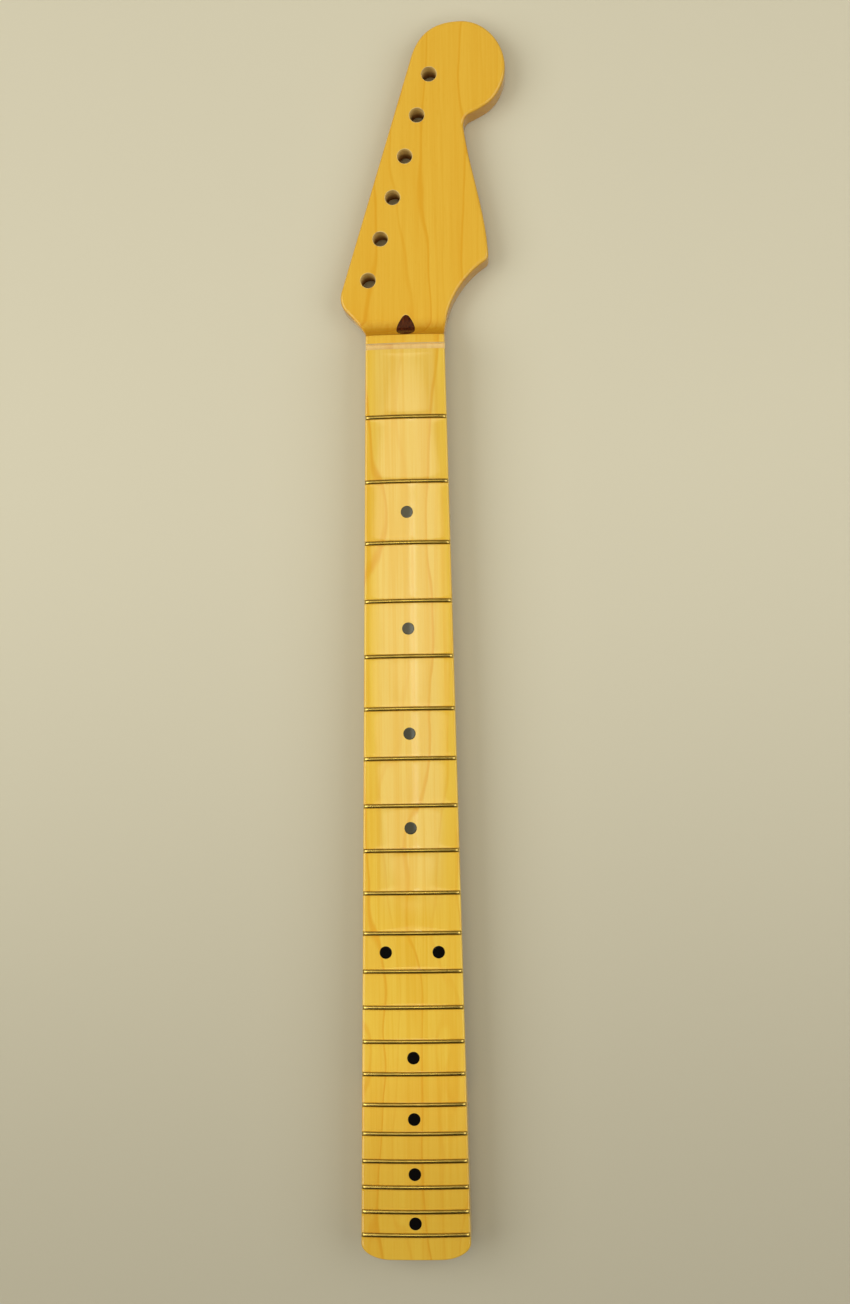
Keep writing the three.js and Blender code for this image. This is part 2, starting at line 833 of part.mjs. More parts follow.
function guitarNeck() {
  const blank = blankBody();
  const group = new THREE.Group();
  group.add(neckBlank(blank), backStrip(blank), headPlug(blank));
  group.add(trussRodParts(), frets(), markers());
  group.position.set(0, -heelSeatY, 0);
  const part = new THREE.Group();
  part.add(group);
  return part;
}

export default guitarNeck();
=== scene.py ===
import math

import bmesh
import bpy
import numpy as np
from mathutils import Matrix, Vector


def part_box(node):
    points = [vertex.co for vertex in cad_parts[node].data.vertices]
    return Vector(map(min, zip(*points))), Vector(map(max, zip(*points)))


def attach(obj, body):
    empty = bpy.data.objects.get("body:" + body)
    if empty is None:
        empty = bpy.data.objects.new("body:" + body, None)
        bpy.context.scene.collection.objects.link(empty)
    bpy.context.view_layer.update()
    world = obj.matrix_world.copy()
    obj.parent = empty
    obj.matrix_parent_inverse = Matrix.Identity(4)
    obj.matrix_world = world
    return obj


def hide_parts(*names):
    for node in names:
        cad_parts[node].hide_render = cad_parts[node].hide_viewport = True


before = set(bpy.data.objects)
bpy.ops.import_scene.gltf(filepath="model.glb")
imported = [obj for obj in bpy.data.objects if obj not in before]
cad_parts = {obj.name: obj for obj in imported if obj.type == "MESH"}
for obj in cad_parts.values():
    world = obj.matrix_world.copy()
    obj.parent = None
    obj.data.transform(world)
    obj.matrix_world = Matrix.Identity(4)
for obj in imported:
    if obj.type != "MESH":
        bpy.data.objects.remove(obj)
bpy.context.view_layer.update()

# A bolt-on electric guitar neck in one piece of lacquered maple, lying on its back on a pale floor.
# X runs from the bass side to the treble side, Y from the heel to the headstock, Z up.
# The origin is the middle of the heel's seat.

MM = 0.001

# Scale and playing surface
SCALE_LENGTH = 647.7 * MM
FRET_COUNT = 21
SEMITONES_PER_OCTAVE = 12
OCTAVE_RATIO = 2
NUT_WIDTH = 41.9 * MM
HEEL_WIDTH = 55.7 * MM
HEEL_OVERHANG = 12.3 * MM
BOARD_RADIUS = 184.15 * MM
BLANK_THICKNESS = 25.4 * MM

# Nut slot and the shelf behind it
NUT_SLOT_WIDTH = 3.3 * MM
NUT_SLOT_DEPTH = 3.2 * MM
NUT_SHELF_LENGTH = 4.4 * MM

# Headstock and tuner holes
HEAD_THICKNESS = 14.3 * MM
HEAD_WIDTH = 89.4 * MM
SWEEP_RADIUS = 12.1 * MM
TUNER_COUNT = 6
TUNER_HOLE_RADIUS = 4 * MM
TUNER_SPACING = 23.6 * MM
TUNER_INSET = 12.2 * MM
TUNER_LEAD_IN = 8.4 * MM
TUNER_LEAD_OUT = 3.9 * MM

# Carved back
FIRST_FRET_THICKNESS = 21 * MM
TWELFTH_FRET_THICKNESS = 23 * MM
STRAIGHT_SIDE_DEPTH = 5.5 * MM
BACK_ROUNDNESS = 2.15
CARVE_MARGIN = 0.05 * MM
HEAD_CARVE_LEAD = 10 * MM
HEAD_CARVE_LENGTH = 38 * MM
CARVE_DROP = 6 * MM
HEEL_SPREAD_SHARE = 1.2
HEAD_SPREAD_SHARE = 2.6
SPREAD_POWER = 3
DROP_POWER = 2
CARVE_SOFTNESS = 1.6 * MM

# Heel
HEEL_BLOCK_LENGTH = 76.2 * MM
HEEL_SWEEP_LENGTH = 28 * MM
HEEL_CORNER_WIDTH = 15 * MM
HEEL_CORNER_LENGTH = 8 * MM
SCREW_SPACING_ACROSS = 38.1 * MM
SCREW_SPACING_ALONG = 50.8 * MM
SCREW_END_DISTANCE = 12.7 * MM
PILOT_RADIUS = 1.6 * MM
PILOT_DEPTH = 16 * MM

# Truss rod's nut, in its bore in the heel's end
ROD_DIAMETER = 4.76 * MM
ROD_DEPTH = 9.5 * MM
ROD_NUT_RADIUS = 4.75 * MM
ROD_NUT_LENGTH = 16 * MM
ROD_NUT_RECESS = 0.6 * MM
ROD_NUT_CHAMFER = 0.6 * MM
DRIVER_SLOT_WIDTH = 1.5 * MM
DRIVER_SLOT_DEPTH = 2.5 * MM
ROD_NUT_WALL = 2 * MM
WASHER_THICKNESS = 1.6 * MM
ROD_HOLE_GAP = 0.3 * MM

# Back strip and headstock plug
STRIP_WIDTH = 6.35 * MM
STRIP_DEPTH = 8.4 * MM
PLUG_RADIUS = 4.95 * MM
PLUG_REACH = 13.6 * MM
PLUG_TILT = math.radians(20)
PLUG_DEPTH = 13.4 * MM

# Frets
CROWN_WIDTH = 2.3 * MM
CROWN_HEIGHT = 1.1 * MM
CROWN_LIP = 0.2 * MM
CROWN_END_LEAN = 0.5
CROWN_END_ROUND = 1.5 * MM
END_HEIGHT_SHARE = 0.3
END_NARROWING = 0.25
TANG_THICKNESS = 0.55 * MM
TANG_DEPTH = 1.6 * MM
FRET_END_INSET = 0.2 * MM

# Position markers
MARKER_FRETS = (3, 5, 7, 9, 12, 15, 17, 19, 21)
DOUBLE_MARKER_FRET = 12
DOT_RADIUS = 3.17 * MM
DOT_THICKNESS = 2 * MM
DOT_PAIR_SPREAD = 27.1 * MM
DOT_EDGE_ROUND = 0.05 * MM
SIDE_DOT_RADIUS = 1 * MM
SIDE_DOT_DEPTH = 3 * MM
SIDE_DOT_DROP = 3 * MM
SIDE_DOT_PAIR_SPREAD = 11 * MM

# Rounded edges and the fine gap round an inlay
BOARD_EDGE_ROUND = 0.8 * MM
HEAD_EDGE_ROUND = 1.6 * MM
HEEL_EDGE_ROUND = 1.2 * MM
SHELF_EDGE_ROUND = 0.45 * MM
HOLE_EDGE_ROUND = 0.35 * MM
INLAY_GAP = 0.03 * MM

# Mesh making: how far cutters overrun, which points merge, and how sharp a smooth edge may be
OVERRUN = 5 * MM
MERGE_DISTANCE = 0.001 * MM
SMOOTH_UP_TO = math.radians(32)
FRET_SMOOTH_UP_TO = math.radians(50)

# Counts of steps along round forms
ACROSS_STEPS = 48
EDGE_STEPS = 6
WALL_STEPS = 3
CURVE_STEPS = 80
TURNED_SIDES = 64
SMALL_SIDES = 32
FRET_STEPS = 44
SLOT_STEPS = 36
CROWN_POINTS = 17

# Rings of points between the middle of an inlaid disc and its edge, as shares of its radius
DISC_RING_SHARES = (0, 0.3, 0.6, 0.85)

# Counts of the rows across the neck's mesh in each stretch of it, from the heel to the tip, and
# the length of the last stretch, where the rows draw closer
CORNER_ROWS = 17
HEEL_ROWS = 20
HEEL_SWEEP_ROWS = 24
SHANK_ROWS = 90
THROAT_ROWS = 16
SHELF_EDGE_ROWS = 5
SWEEP_ROWS = 21
HEAD_ROWS = 230
CAP_ROWS = 31
CAP_LENGTH = 22 * MM

# How evenly the columns of the mesh are spread across the neck, from 0, closest at the edges, to 1
COLUMN_EVENNESS = 0.6

# The headstock's outline, from the bass side of the neck round to the treble side, as shares of
# the headstock's width across and of its length from the shelf to the tip. Each row is one curve,
# as two handles and its end, or one straight line, as its end. The last row ends at the neck.
HEAD_OUTLINE_SHARES = (
    ((-0.247, 0.038), (-0.32, 0.071), (-0.362, 0.095)),
    ((-0.391, 0.112), (-0.4, 0.134), (-0.382, 0.162)),
    ((0.039, 0.873),),
    ((0.077, 0.95), (0.157, 1), (0.347, 1)),
    ((0.508, 1), (0.622, 0.92), (0.616, 0.846)),
    ((0.614, 0.803), (0.57, 0.753), (0.494, 0.729)),
    ((0.462, 0.719), (0.432, 0.711), (0.4, 0.704)),
    ((0.371, 0.697), (0.356, 0.679), (0.361, 0.66)),
    ((0.394, 0.528), (0.48, 0.406), (0.497, 0.27)),
    ((0.499, 0.256), (0.499, 0.247), (0.472, 0.238)),
    ((0.346, 0.196), (0.215, 0.102)),
)
EDGE_START_ROW = 1
EDGE_END_ROW = 2


def fret_distance(fret):
    """Distance from the nut to a fret, by equal temperament."""
    return SCALE_LENGTH * (1 - OCTAVE_RATIO ** (-fret / SEMITONES_PER_OCTAVE))


# Places that follow from the sizes above
HEEL_END_Y = -HEEL_BLOCK_LENGTH / 2
NUT_Y = HEEL_END_Y + fret_distance(FRET_COUNT) + HEEL_OVERHANG
SHELF_END_Y = NUT_Y + NUT_SLOT_WIDTH + NUT_SHELF_LENGTH
SWEEP_CENTRE_Z = HEAD_THICKNESS + SWEEP_RADIUS
SWEEP_END_Y = SHELF_END_Y + math.sqrt(SWEEP_RADIUS**2 - (SWEEP_CENTRE_Z - BLANK_THICKNESS) ** 2)
SIDE_Z = BLANK_THICKNESS - STRAIGHT_SIDE_DEPTH
ROD_Z = BLANK_THICKNESS - ROD_DEPTH
ROD_HOLE_IN_NUT_DEPTH = ROD_NUT_LENGTH - DRIVER_SLOT_DEPTH - ROD_NUT_WALL
NUT_BORE_RADIUS = ROD_NUT_RADIUS + ROD_HOLE_GAP
NUT_BORE_DEPTH = ROD_NUT_RECESS + ROD_NUT_LENGTH + WASHER_THICKNESS + 2 * ROD_HOLE_GAP
STRIP_HEEL_Y, STRIP_HEAD_Y = (corner[1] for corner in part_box("skunk_stripe"))


def head_length():
    """The tuners stand along the headstock's straight edge, so that edge sets its length."""
    start = HEAD_OUTLINE_SHARES[EDGE_START_ROW][-1]
    end = HEAD_OUTLINE_SHARES[EDGE_END_ROW][-1]
    edge = (TUNER_COUNT - 1) * TUNER_SPACING + TUNER_LEAD_IN + TUNER_LEAD_OUT
    sideways = (end[0] - start[0]) * HEAD_WIDTH
    return math.sqrt(edge**2 - sideways**2) / (end[1] - start[1])


HEAD_LENGTH = head_length()
HEAD_TIP_Y = SHELF_END_Y + HEAD_LENGTH


def fret_y(fret):
    return NUT_Y - fret_distance(fret)


def half_width_at(y):
    share = (NUT_Y - y) / (NUT_Y - HEEL_END_Y)
    return (NUT_WIDTH + (HEEL_WIDTH - NUT_WIDTH) * share) / 2


def board_z(x):
    """Height of the radiused playing surface."""
    return BLANK_THICKNESS - BOARD_RADIUS + np.sqrt(BOARD_RADIUS**2 - np.square(x))


def back_z(y):
    """Height of the shank's back, which rises evenly between the first fret and the twelfth."""
    first = fret_distance(1)
    octave = fret_distance(SEMITONES_PER_OCTAVE)
    share = (NUT_Y - y - first) / (octave - first)
    first_z = BLANK_THICKNESS - FIRST_FRET_THICKNESS
    return first_z - (TWELFTH_FRET_THICKNESS - FIRST_FRET_THICKNESS) * share


def edge_fall(distance, radius):
    """How far a rounded edge lies below its face, at a distance from the outline."""
    inside = np.clip(radius - distance, 0, radius)
    return radius - np.sqrt(radius**2 - inside**2)


def soft_max(a, b, softness):
    """The higher of two heights, blended where they come close."""
    near = np.clip(softness - np.abs(a - b), 0, softness)
    return np.maximum(a, b) + near**2 / (4 * softness)


def top_z(x, y):
    """Height of the face: the playing surface, the hollow sweep behind the shelf, the headstock."""
    run = np.clip(SWEEP_END_Y - y, 0, SWEEP_RADIUS)
    sweep = SWEEP_CENTRE_Z - np.sqrt(SWEEP_RADIUS**2 - run**2)
    board = board_z(x) - edge_fall(SHELF_END_Y - y, SHELF_EDGE_ROUND)
    return np.where(y < SHELF_END_Y, board, np.minimum(sweep, board_z(x)))


def carved_z(x, y):
    """Height of the carved back before the flat of the heel and headstock stops it."""
    heel = np.clip((HEEL_END_Y + HEEL_BLOCK_LENGTH + HEEL_SWEEP_LENGTH - y) / HEEL_SWEEP_LENGTH, 0, 1)
    head = np.clip((y - NUT_Y + HEAD_CARVE_LEAD) / HEAD_CARVE_LENGTH, 0, None)
    spread = HEEL_SPREAD_SHARE * heel**SPREAD_POWER + HEAD_SPREAD_SHARE * head**SPREAD_POWER
    half_width = half_width_at(np.minimum(y, SWEEP_END_Y)) * (1 + spread) + CARVE_MARGIN
    depth = SIDE_Z - back_z(y) + CARVE_DROP * (heel**DROP_POWER + head**DROP_POWER)
    share = np.clip(np.abs(x) / half_width, 0, 1)
    return SIDE_Z - depth * (1 - share**BACK_ROUNDNESS) ** (1 / BACK_ROUNDNESS)


def back_round(y):
    """Radius of the edge round the back: the heel's or the headstock's."""
    return np.where(y < NUT_Y, HEEL_EDGE_ROUND, HEAD_EDGE_ROUND)


def bottom_z(x, y, distance):
    """Height of the back, at a distance from the outline."""
    flat = edge_fall(distance, back_round(y))
    return soft_max(carved_z(x, y), flat, CARVE_SOFTNESS)


# Outline of the neck, seen from above


def head_point(share):
    return np.array((share[0] * HEAD_WIDTH, SHELF_END_Y + share[1] * HEAD_LENGTH))


def curve_points(start, first, second, end):
    t = np.linspace(0, 1, CURVE_STEPS + 1)[1:, None]
    return (
        start * (1 - t) ** 3 + first * 3 * t * (1 - t) ** 2 + second * 3 * t**2 * (1 - t) + end * t**3
    )


def head_outline():
    """The headstock's outline as two lines of points, each from the shelf up to the tip."""
    half = half_width_at(SHELF_END_Y)
    points = [np.array([(-half, SHELF_END_Y)])]
    for row in HEAD_OUTLINE_SHARES:
        places = [head_point(share) for share in row]
        if len(row) == 1:
            points.append(np.array(places))
        elif len(row) == 2:
            points.append(curve_points(points[-1][-1], *places, np.array((half, SHELF_END_Y))))
        else:
            points.append(curve_points(points[-1][-1], *places))
    outline = np.concatenate(points)
    tip = int(np.argmax(outline[:, 1]))
    return outline[: tip + 1], outline[tip:][::-1]


def stations():
    """The places along the neck where its mesh has a row across, closer where the form turns."""
    corner_turn = np.linspace(0, math.pi / 2, CORNER_ROWS)
    corner = HEEL_END_Y + HEEL_CORNER_LENGTH * (1 - np.cos(corner_turn))
    heel_sweep_y = HEEL_END_Y + HEEL_BLOCK_LENGTH
    shank_y = heel_sweep_y + HEEL_SWEEP_LENGTH
    throat_y = NUT_Y - HEAD_CARVE_LEAD
    edge_turn = np.linspace(math.pi / 2, 0, SHELF_EDGE_ROWS)
    edge = SHELF_END_Y - SHELF_EDGE_ROUND * (1 - np.cos(edge_turn))
    steepest = math.asin((SWEEP_CENTRE_Z - BLANK_THICKNESS) / SWEEP_RADIUS)
    sweep = SWEEP_END_Y - SWEEP_RADIUS * np.cos(np.linspace(steepest, math.pi / 2, SWEEP_ROWS))
    return np.concatenate((
        corner,
        np.linspace(corner[-1], heel_sweep_y, HEEL_ROWS)[1:],
        np.linspace(heel_sweep_y, shank_y, HEEL_SWEEP_ROWS)[1:],
        np.linspace(shank_y, throat_y, SHANK_ROWS)[1:],
        np.linspace(throat_y, edge[0], THROAT_ROWS)[1:],
        edge[1:],
        sweep[1:],
        np.linspace(SWEEP_END_Y, HEAD_TIP_Y - CAP_LENGTH, HEAD_ROWS)[1:],
        HEAD_TIP_Y - CAP_LENGTH * np.linspace(1, 0, CAP_ROWS)[1:] ** 2,
    ))


def side_line(rows, head_line, side):
    """The outline on one side, -1 for bass or 1 for treble, at each row."""
    in_corner = np.clip((HEEL_END_Y - rows) / HEEL_CORNER_LENGTH + 1, 0, 1)
    corner_fall = HEEL_CORNER_WIDTH * (1 - np.sqrt(1 - in_corner**2))
    neck = side * (half_width_at(rows) - corner_fall)
    rising = np.maximum.accumulate(head_line[:, 1])
    head = np.interp(rows, rising, head_line[:, 0])
    return np.column_stack((np.where(rows < SHELF_END_Y, neck, head), rows))


def outward(line, side):
    """Unit normals that point away from the neck, along one side of its outline."""
    run = np.gradient(line, axis=0)
    normals = np.column_stack((side * run[:, 1], -side * run[:, 0]))
    normals /= np.linalg.norm(normals, axis=1)[:, None]
    normals[0] = (0, -1)
    normals[-1] = (0, 1)
    return normals


# Mesh helpers


def mesh_object(name, points, faces, material=None):
    mesh = bpy.data.meshes.new(name)
    mesh.from_pydata([tuple(point) for point in points], [], faces)
    obj = bpy.data.objects.new(name, mesh)
    bpy.context.scene.collection.objects.link(obj)
    if material:
        mesh.materials.append(material)
    return obj


def tidy_mesh(obj):
    """Merges doubled points, closes up flattened faces and turns every face outwards."""
    shape = bmesh.new()
    shape.from_mesh(obj.data)
    bmesh.ops.remove_doubles(shape, verts=shape.verts, dist=MERGE_DISTANCE)
    bmesh.ops.recalc_face_normals(shape, faces=shape.faces)
    shape.to_mesh(obj.data)
    shape.free()
    return obj


def smooth(obj, angle=SMOOTH_UP_TO):
    obj.data.polygons.foreach_set("use_smooth", [True] * len(obj.data.polygons))
    obj.data.set_sharp_from_angle(angle=angle)
    return obj


def combine(obj, cutter, operation="DIFFERENCE", keep_cutter=False):
    """Cuts a closed mesh with another, whose material the cut faces take."""
    change = obj.modifiers.new("cut", "BOOLEAN")
    change.object = cutter
    change.operation = operation
    change.solver = "EXACT"
    change.material_mode = "TRANSFER"
    graph = bpy.context.evaluated_depsgraph_get()
    made = bpy.data.meshes.new_from_object(obj.evaluated_get(graph), depsgraph=graph)
    obj.modifiers.clear()
    obj.data = made
    if not keep_cutter:
        bpy.data.objects.remove(cutter)
    return obj


def kept_inside(obj, body):
    """What of a piece lies inside a body, all in the piece's own material."""
    material = obj.data.materials[0]
    combine(obj, body, "INTERSECT", keep_cutter=True)
    obj.data.materials.clear()
    obj.data.materials.append(material)
    obj.data.polygons.foreach_set("material_index", [0] * len(obj.data.polygons))
    return obj


def joined(name, parts):
    """Several meshes as one object, with their materials kept."""
    with bpy.context.temp_override(
        active_object=parts[0], selected_objects=parts, selected_editable_objects=parts
    ):
        bpy.ops.object.join()
    parts[0].name = name
    return parts[0]


def grid_faces(rows, columns, closed=False):
    """Quads over a grid of points that is stored row by row."""
    faces = []
    for row in range(rows - 1):
        for column in range(columns if closed else columns - 1):
            after = (column + 1) % columns
            near = row * columns
            far = near + columns
            faces.append((near + column, near + after, far + after, far + column))
    return faces


def turned(name, profile, start, direction, sides=TURNED_SIDES, material=None):
    """A closed turned solid from (radius, height) pairs that start and end on the axis."""
    angles = np.linspace(0, 2 * math.pi, sides, endpoint=False)
    circle = np.column_stack((np.cos(angles), np.sin(angles), np.zeros(sides)))
    points = np.concatenate([circle * radius + (0, 0, height) for radius, height in profile])
    obj = mesh_object(name, points, grid_faces(len(profile), sides, closed=True), material)
    turn = Vector((0, 0, 1)).rotation_difference(Vector(direction)).to_matrix().to_4x4()
    turn.translation = start
    obj.data.transform(turn)
    return tidy_mesh(obj)


def across(name, profile, half_length, y, material=None, steps=SLOT_STEPS, end=None):
    """A strip that follows the radiused board across: profile is (y, height above the board)."""
    xs = half_length * np.sin(np.linspace(-math.pi / 2, math.pi / 2, steps + 1))
    rows = []
    for x in xs:
        for along, height in profile:
            place = (x, along, height) if end is None else end(x, along, height, half_length)
            rows.append((place[0], y + place[1], board_z(place[0]) + place[2]))
    faces = grid_faces(steps + 1, len(profile), closed=True)
    last = steps * len(profile)
    faces.append(tuple(range(len(profile))))
    faces.append(tuple(range(last, last + len(profile))))
    return tidy_mesh(mesh_object(name, rows, faces, material))


def prism(name, outline, low, high, material=None):
    """A closed upright solid over an outline in x and y."""
    count = len(outline)
    points = [(x, y, z) for z in (low, high) for x, y in outline]
    faces = grid_faces(2, count, closed=True)
    faces.append(tuple(range(count)))
    faces.append(tuple(range(count, 2 * count)))
    return tidy_mesh(mesh_object(name, points, faces, material))


# Neck blank


def face_round(y):
    """Radius of the edge round the face: small on the board, larger on the headstock."""
    share = np.clip((y - NUT_Y) / HEAD_CARVE_LENGTH, 0, 1)
    return BOARD_EDGE_ROUND + (HEAD_EDGE_ROUND - BOARD_EDGE_ROUND) * share


def neck_blank(name, material):
    """The neck before anything is cut into it.

    Its face and its back are rows of points across the neck. Rounded edges and upright sides run
    round its outline between them.
    """
    rows = stations()
    bass_head, treble_head = head_outline()
    bass = side_line(rows, bass_head, -1)
    treble = side_line(rows, treble_head, 1)
    shares = np.linspace(-1, 1, ACROSS_STEPS + 1)
    closer_at_edges = np.sin(shares * math.pi / 2)
    spread = COLUMN_EVENNESS * shares + (1 - COLUMN_EVENNESS) * closer_at_edges
    weights = (1 + spread)[:, None] / 2
    end = bass[0] + (treble[0] - bass[0]) * weights[1:-1]
    outline = np.concatenate((bass[::-1], end, treble[:-1]))
    normals = np.concatenate((
        outward(bass, -1)[::-1],
        np.tile((0, -1), (len(end), 1)),
        outward(treble, 1)[:-1],
    ))

    def loop(distance, height):
        x, y = (outline - normals * distance[:, None]).T
        return np.column_stack((x, y, height(x, y, distance)))

    turn = 1 - np.cos(np.linspace(0, math.pi / 2, EDGE_STEPS + 1))
    face_radius = face_round(outline[:, 1])
    back_radius = back_round(outline[:, 1])

    def face_height(x, y, distance):
        return top_z(x, y) - edge_fall(distance, face_radius)

    face_loops = [loop(face_radius * share, face_height) for share in turn[::-1]]
    back_loops = [loop(back_radius * share, bottom_z) for share in turn]
    upper, lower = face_loops[-1], back_loops[0]
    walls = [upper + (lower - upper) * step / WALL_STEPS for step in range(1, WALL_STEPS)]
    loops = [*face_loops, *walls, *back_loops]
    count = len(outline)
    points = [np.concatenate(loops)]
    faces = grid_faces(len(loops), count, closed=True)

    for inner in (face_loops[0], back_loops[-1]):
        bass_inner = inner[: len(rows)][::-1]
        treble_inner = np.concatenate((inner[len(rows) + len(end) :], inner[:1]))
        grid = bass_inner[:, None, :] + (treble_inner - bass_inner)[:, None, :] * weights
        x, y = grid[..., 0], grid[..., 1]
        far = np.full_like(x, HEAD_WIDTH)
        grid[..., 2] = top_z(x, y) if inner is face_loops[0] else bottom_z(x, y, far)
        start = sum(len(block) for block in points)
        points.append(grid.reshape(-1, 3))
        faces.extend(
            tuple(start + corner for corner in face)
            for face in grid_faces(len(rows), ACROSS_STEPS + 1)
        )
    return tidy_mesh(mesh_object(name, np.concatenate(points), faces, material))


# Pieces that are cut into the blank or let into it


def along_plug(distance):
    """A point on the axis of the headstock's plug, from the middle of its lowest edge."""
    tip_z = HEAD_THICKNESS + PLUG_RADIUS / math.cos(PLUG_TILT)
    tip = Vector((0, SHELF_END_Y + PLUG_REACH, tip_z))
    return tip + distance * Vector((0, math.cos(PLUG_TILT), math.sin(PLUG_TILT)))


def plug_rod(name, radius, start, material):
    """The tilted round bar of the plug, or the drill that makes its bore."""
    length = PLUG_REACH + OVERRUN - start
    profile = ((0, 0), (radius, 0), (radius, length), (0, length))
    axis = along_plug(1) - along_plug(0)
    return turned(name, profile, along_plug(start), axis, material=material)


def strip_prism(name, gap, high, material):
    """The round-ended strip in the back, or the slot that it closes."""
    half = STRIP_WIDTH / 2 + gap
    turn = np.linspace(0, math.pi, SMALL_SIDES // 2 + 1)
    arc = half * np.column_stack((np.cos(turn), np.sin(turn)))
    head = arc + (0, STRIP_HEAD_Y - STRIP_WIDTH / 2)
    heel = -arc + (0, STRIP_HEEL_Y + STRIP_WIDTH / 2)
    return prism(name, np.concatenate((head, heel)), -OVERRUN, high, material)


def tuner_bore(place, material):
    """A drill right through the headstock, with a rounded mouth at the back and at the face."""
    turn = np.linspace(0, math.pi / 2, EDGE_STEPS + 1)
    out = HOLE_EDGE_ROUND * (1 - np.sin(turn))
    up = HOLE_EDGE_ROUND * (1 - np.cos(turn))
    mouth = list(zip(TUNER_HOLE_RADIUS + out, up))
    wide = TUNER_HOLE_RADIUS + HOLE_EDGE_ROUND
    profile = (
        (0, -OVERRUN),
        (wide, -OVERRUN),
        *mouth,
        *((radius, HEAD_THICKNESS - height) for radius, height in mouth[::-1]),
        (wide, HEAD_THICKNESS + OVERRUN),
        (0, HEAD_THICKNESS + OVERRUN),
    )
    return turned("tuner bore", profile, (*place, 0), (0, 0, 1), material=material)


def tuner_places():
    start = head_point(HEAD_OUTLINE_SHARES[EDGE_START_ROW][-1])
    end = head_point(HEAD_OUTLINE_SHARES[EDGE_END_ROW][-1])
    along = (end - start) / np.linalg.norm(end - start)
    inward = np.array((along[1], -along[0]))
    return [
        start + inward * TUNER_INSET + along * (TUNER_LEAD_IN + number * TUNER_SPACING)
        for number in range(TUNER_COUNT)
    ]


def marker_y(fret):
    """A marker stands midway between its fret and the one before."""
    return (fret_y(fret) + fret_y(fret - 1)) / 2


def face_dot_places():
    places = {}
    for fret in MARKER_FRETS:
        name = f"dot_{fret:02d}"
        if fret == DOUBLE_MARKER_FRET:
            places[f"{name}_bass"] = (-DOT_PAIR_SPREAD / 2, marker_y(fret))
            places[f"{name}_treble"] = (DOT_PAIR_SPREAD / 2, marker_y(fret))
        else:
            places[name] = (0, marker_y(fret))
    return places


def side_dot_places():
    places = {}
    for fret in MARKER_FRETS:
        name = f"side_dot_{fret:02d}"
        if fret == DOUBLE_MARKER_FRET:
            places[f"{name}_near_heel"] = marker_y(fret) - SIDE_DOT_PAIR_SPREAD / 2
            places[f"{name}_near_nut"] = marker_y(fret) + SIDE_DOT_PAIR_SPREAD / 2
        else:
            places[name] = marker_y(fret)
    return places


def face_disc(name, place, radius, above, below, edge, material):
    """A round inlay whose two faces follow the playing surface, or the drill that makes its hole."""
    angles = np.linspace(0, 2 * math.pi, TURNED_SIDES, endpoint=False)
    turn = np.linspace(0, math.pi / 2, EDGE_STEPS + 1)
    inner = [(radius * share, above) for share in DISC_RING_SHARES]
    round_edge = [
        (radius - edge * (1 - math.sin(a)), above - edge * (1 - math.cos(a))) for a in turn
    ]
    profile = [*inner, *round_edge, (radius, below), (0, below)]
    points = []
    for r, height in profile:
        x = place[0] + r * np.cos(angles)
        y = place[1] + r * np.sin(angles)
        points.append(np.column_stack((x, y, board_z(x) + height)))
    faces = grid_faces(len(profile), len(angles), closed=True)
    return tidy_mesh(mesh_object(name, np.concatenate(points), faces, material))


def side_pin(name, y, radius, outer, inner, material):
    """A pin let into the bass edge, or its drill. Depths are measured from the edge."""
    edge_x = -half_width_at(y)
    z = board_z(edge_x) - SIDE_DOT_DROP
    profile = ((0, 0), (radius, 0), (radius, inner - outer), (0, inner - outer))
    return turned(name, profile, (edge_x + outer, y, z), (1, 0, 0), SMALL_SIDES, material)


def pilot_holes(material):
    profile = (
        (0, -OVERRUN),
        (PILOT_RADIUS, -OVERRUN),
        (PILOT_RADIUS, PILOT_DEPTH),
        (0, PILOT_DEPTH + PILOT_RADIUS / 2),
    )
    holes = []
    for side in (-1, 1):
        for row in (0, 1):
            x = side * SCREW_SPACING_ACROSS / 2
            y = HEEL_END_Y + SCREW_END_DISTANCE + row * SCREW_SPACING_ALONG
            holes.append(turned("pilot", profile, (x, y, 0), (0, 0, 1), SMALL_SIDES, material))
    return holes


def fret_slot(fret, material):
    half = TANG_THICKNESS / 2 + INLAY_GAP
    floor = -TANG_DEPTH - INLAY_GAP
    profile = ((-half, floor), (half, floor), (half, OVERRUN), (-half, OVERRUN))
    y = fret_y(fret)
    return across("slot", profile, half_width_at(y) + OVERRUN, y, material)


def nut_slot(material):
    low = BLANK_THICKNESS - NUT_SLOT_DEPTH
    half = NUT_WIDTH
    end_y = NUT_Y + NUT_SLOT_WIDTH
    outline = ((-half, NUT_Y), (half, NUT_Y), (half, end_y), (-half, end_y))
    return prism("nut slot", outline, low, low + 2 * OVERRUN, material)


def nut_bore(material):
    profile = (
        (0, -OVERRUN),
        (NUT_BORE_RADIUS, -OVERRUN),
        (NUT_BORE_RADIUS, NUT_BORE_DEPTH),
        (0, NUT_BORE_DEPTH),
    )
    return turned("nut bore", profile, (0, HEEL_END_Y, ROD_Z), (0, 1, 0), material=material)


